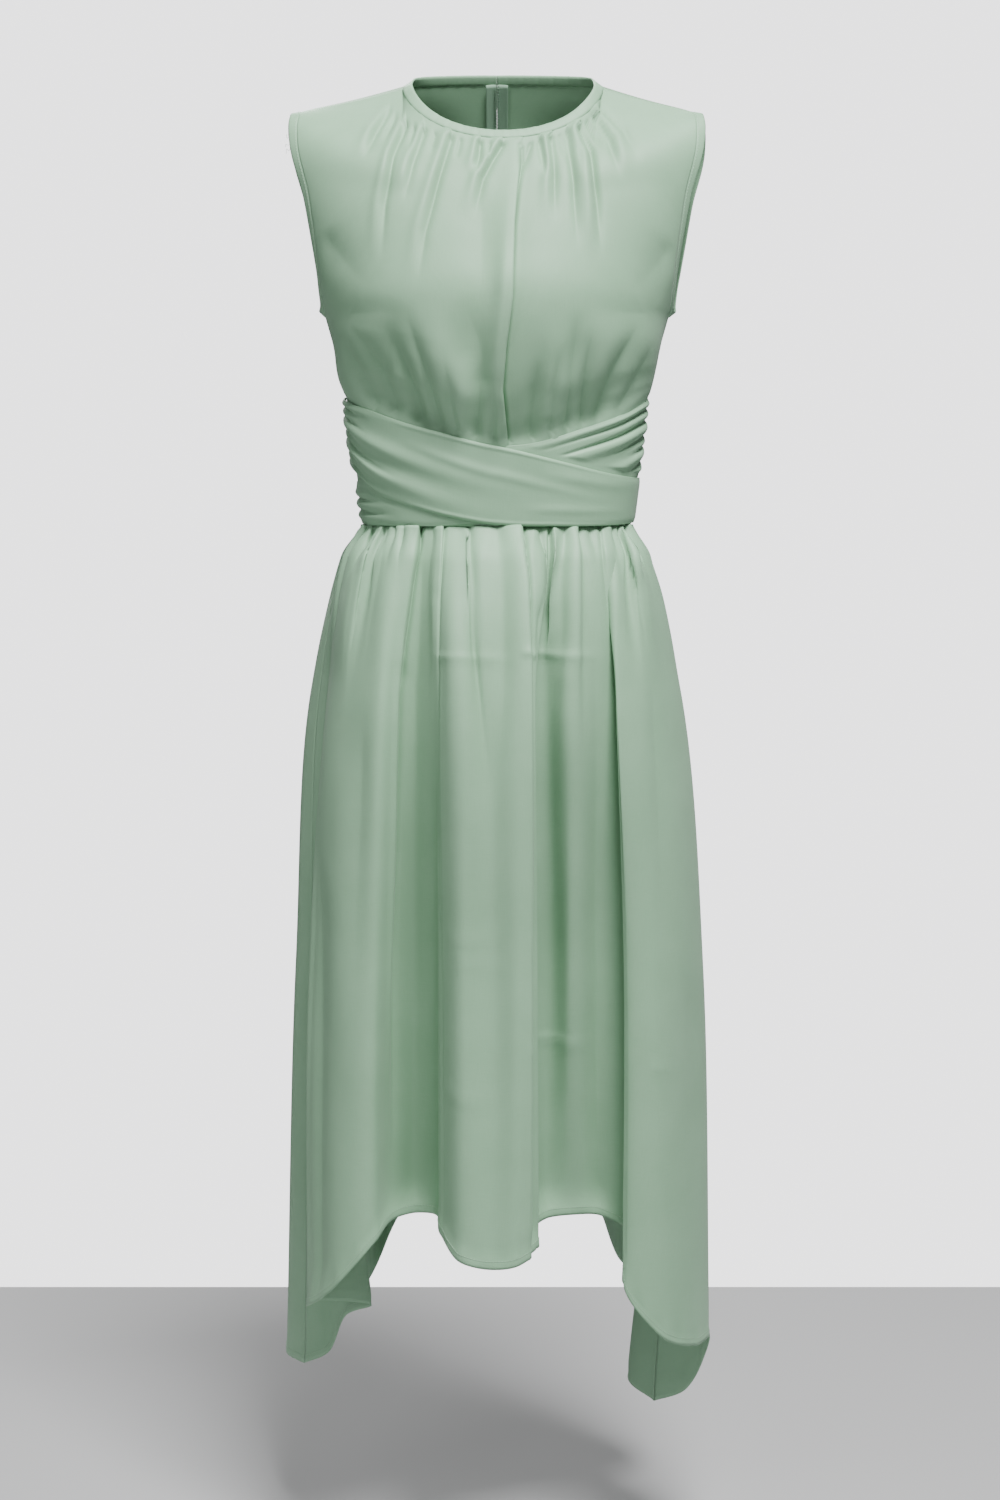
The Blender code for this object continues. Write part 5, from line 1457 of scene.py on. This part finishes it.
def make_coil(name):
    """Small rounded teeth that hook over each other from both sides of the seam."""
    seam = back_seam(1)
    lengths = path_length(seam)
    count = int(lengths[-1] / COIL_PITCH)
    centre = at_places((np.arange(count) + 0.5) * COIL_PITCH, lengths, seam)
    ahead, inward = zip_directions(centre)
    sideways = np.broadcast_to([1.0, 0.0, 0.0], centre.shape)
    sides = np.where(np.arange(count) % 2 == 0, 1.0, -1.0)[:, None]
    centre = centre + inward * COIL_DEPTH + sideways * sides * COIL_SIDEWAYS
    print(name, count, "teeth")
    return lay_beads(name, COIL_RINGS, COIL_HALF_LENGTH, COIL_RADIUS, centre,
                     (sideways, ahead, inward), coil_nylon)


tape_left = make_tape("zip_tape_left", 1)
tape_right = make_tape("zip_tape_right", -1)
zip_coil = make_coil("zip_coil")
for node in ("zip_slider", "zip_pull"):
    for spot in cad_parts[node].material_slots:
        spot.material = zip_paint

# %% [markdown]
# ## Loose threads
# At the wearer's right shoulder the armhole's edge has frayed: a few fine threads stand out there.
# They are thin bent tubes, each through four points.

# %% Make the loose threads
LOOSE_THREADS = [
    # start y, z and how far each end wanders (mm)
    (-8, -60, -3.5, -3, 5), (-9, -64, -5.0, 2, -3), (-10, -68, -4.0, -2, -6), (-7, -57, -2.5, 4, 4),
]
LOOSE_RINGS = 12
LOOSE_SIDES = 5
LOOSE_RADIUS = 0.16 * MM


def make_loose_threads():
    points = []
    edge = armhole_point(-1.0, np.array(-0.14))
    for y, z, out, sway, drop in LOOSE_THREADS:
        start = np.array([edge[0] - 7.0 * MM, edge[1] + (y + 8) * MM, z * MM])
        bends = np.array([(0, 0, 0), (out * 0.5, sway * 0.2, drop * 0.5),
                          (out, sway * 0.6, drop * 0.2), (out * 1.1, sway, drop)])
        line = smooth([0, 1, 2, 3], start + bends * MM, np.linspace(0, 3, LOOSE_RINGS))
        ahead = heading(line)
        beside = unit(np.cross(ahead, np.array([0.0, 1.0, 0.1])))
        up = np.cross(ahead, beside)
        turns = (2 * math.pi * np.arange(LOOSE_SIDES) / LOOSE_SIDES)[None, :, None]
        around = beside[:, None] * np.cos(turns) + up[:, None] * np.sin(turns)
        points.append(line[:, None] + around * LOOSE_RADIUS)
    return tubes("loose_threads", points, LOOSE_RINGS, LOOSE_SIDES, sewing_thread)


loose_threads = make_loose_threads()
print(len(LOOSE_THREADS), "loose threads")

# %% [markdown]
# ## Ride on the body and stand in for the solids
# Every piece rides on the dress's one rigid body. Each shell stands for its plain solid, which is
# hidden, and the size that its maker would cut is printed with its area.

# %% Ride on the body and hide the solids
SHEETS = [
    # piece, solid that it stands for, cut width and length (m), area of the cloth (m2), how it is
    # held, what it hangs on, other pieces that lie on it
    (bodice_front, "bodice_front", (0.56, 0.47), bodice_front_area, "gathered", "neck_binding", ()),
    (back_left, "bodice_back_left", (0.26, 0.36), back_left_area, "hung", "neck_binding", ()),
    (back_right, "bodice_back_right", (0.26, 0.36), back_right_area, "hung", "neck_binding", ()),
    (band_left, "waistband_back_left", (0.21, 0.13), band_area, "stretched",
     "bodice_back_left", ()),
    (band_right, "waistband_back_right", (0.21, 0.13), band_area, "stretched",
     "bodice_back_right", ()),
    (sash_under, "sash_under", (0.46, 0.15), sash_under_area, "gathered", "bodice_front", ()),
    (sash_over, "sash_over", (0.46, 0.15), sash_over_area, "gathered", "bodice_front", ()),
    (skirt_front, "skirt_front", (1.00, 0.96), skirt_front_area, "gathered", "bodice_front",
     ("skirt_front_hem_stitches",)),
    (skirt_left, "skirt_back_left", (0.62, 0.96), skirt_left_area, "gathered",
     "waistband_back_left", ("skirt_back_left_hem_stitches",)),
    (skirt_right, "skirt_back_right", (0.62, 0.96), skirt_right_area, "gathered",
     "waistband_back_right", ("skirt_back_right_hem_stitches",)),
]
for piece, node, flat_size, area, held, rests_on, with_pieces in SHEETS:
    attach(piece, CLOTH_BODY)
    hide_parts(node)
    print(piece.name, "cut", flat_size, "area", round(area, 4))

STRIPS = [
    # piece, solid that it stands for, finished width and length (m), other pieces that lie on it
    (neck_binding, "neck_binding", (0.0115, 0.50), ()),
    (armhole_left, "armhole_binding_left", (0.0110, 0.47), ("armhole_left_stitches",)),
    (armhole_right, "armhole_binding_right", (0.0110, 0.47),
     ("armhole_right_stitches", "loose_threads")),
]
for piece, node, flat_size, with_pieces in STRIPS:
    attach(piece, CLOTH_BODY)
    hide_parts(node)
for piece, node in ((tape_left, "bodice_back_left"), (tape_right, "bodice_back_right")):
    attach(piece, CLOTH_BODY)
for piece in [*seam_pieces.values(), zip_coil, loose_threads]:
    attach(piece, CLOTH_BODY)

# %% [markdown]
# ## Camera, floor and light
# The photo was taken from the height of the sash with the camera tipped a little down. A long lens
# keeps the perspective quiet. The light is that of a plain studio: one large soft source high in
# front and slightly to the right, a weak fill from the left, and a lamp behind. The room itself
# gives little light, but the camera sees it as a bright, even background.

# %% Set the camera
CAMERA_X = 0.003
CAMERA_DISTANCE = 2.6
CAMERA_HEIGHT = -0.3844
CAMERA_TILT_DEG = 6.04
LENS_MM = 62.4
SENSOR_MM = 36

camera = bpy.data.objects.new("camera", bpy.data.cameras.new("camera"))
bpy.context.scene.collection.objects.link(camera)
camera.location = (CAMERA_X, -CAMERA_DISTANCE, CAMERA_HEIGHT)
camera.rotation_euler = (math.radians(90 - CAMERA_TILT_DEG), 0, 0)
camera.data.lens = LENS_MM
camera.data.sensor_width = SENSOR_MM
bpy.context.scene.camera = camera
print("camera at", [round(place, 3) for place in camera.location], "with a lens of", LENS_MM, "mm")

# %% Lay the floor and hang the lights
FLOOR_Z = -1.47
FLOOR_HALF_WIDTH = 9
FLOOR_BACK_Y = 0.8


def plain_finish(name, color, roughness):
    finish = Finish(name, Roughness=roughness)
    place = finish.node("ShaderNodeTexCoord", {}, {}, output=3)
    cloud = finish.noise(place, 1.2, 3.0)
    finish.feed("Base Color", finish.mix_color(cloud, tuple(c * 0.97 for c in color), color))
    return finish.material


floor_corners = [(side * FLOOR_HALF_WIDTH, y, FLOOR_Z) for side, y in (
    (-1, -FLOOR_HALF_WIDTH), (1, -FLOOR_HALF_WIDTH), (1, FLOOR_BACK_Y), (-1, FLOOR_BACK_Y))]
floor_paint = plain_finish("floor_paint", (0.42, 0.42, 0.425), 0.6)
floor = new_piece("floor", floor_corners, [[0, 1, 2, 3]], floor_paint)

LIGHTS = [
    # name, place, aim, width (m), power (W)
    ("key", (0.66, -1.7, 2.9), (0, 0, -0.5), 1.3, 378),
    ("fill", (-1.6, -2.2, 1.0), (0, 0, -0.5), 1.4, 18),
    ("back", (-0.6, 3.0, 1.9), (0, 0, -0.5), 1.4, 90),
]
for name, place, aim, width, power in LIGHTS:
    lamp = bpy.data.lights.new(name, "AREA")
    lamp.size = width
    lamp.energy = power
    hung = bpy.data.objects.new(name, lamp)
    hung.location = place
    hung.rotation_euler = (Vector(aim) - Vector(place)).to_track_quat("-Z", "Y").to_euler()
    bpy.context.scene.collection.objects.link(hung)

ROOM_LIGHT = 0.13
BACKGROUND_LIGHT = 2.7

room = bpy.data.worlds.new("room")
bpy.context.scene.world = room
room.use_nodes = True
lit = room.node_tree.nodes["Background"]
lit.inputs[0].default_value = (0.96, 0.97, 1.0, 1.0)
lit.inputs[1].default_value = ROOM_LIGHT
seen = room.node_tree.nodes.new("ShaderNodeBackground")
seen.inputs[0].default_value = (0.985, 0.98, 1.0, 1.0)
seen.inputs[1].default_value = BACKGROUND_LIGHT
ray = room.node_tree.nodes.new("ShaderNodeLightPath")
choice = room.node_tree.nodes.new("ShaderNodeMixShader")
room.node_tree.links.new(ray.outputs["Is Camera Ray"], choice.inputs[0])
room.node_tree.links.new(lit.outputs[0], choice.inputs[1])
room.node_tree.links.new(seen.outputs[0], choice.inputs[2])
room.node_tree.links.new(choice.outputs[0], room.node_tree.nodes["World Output"].inputs[0])
print(len(LIGHTS), "lights")
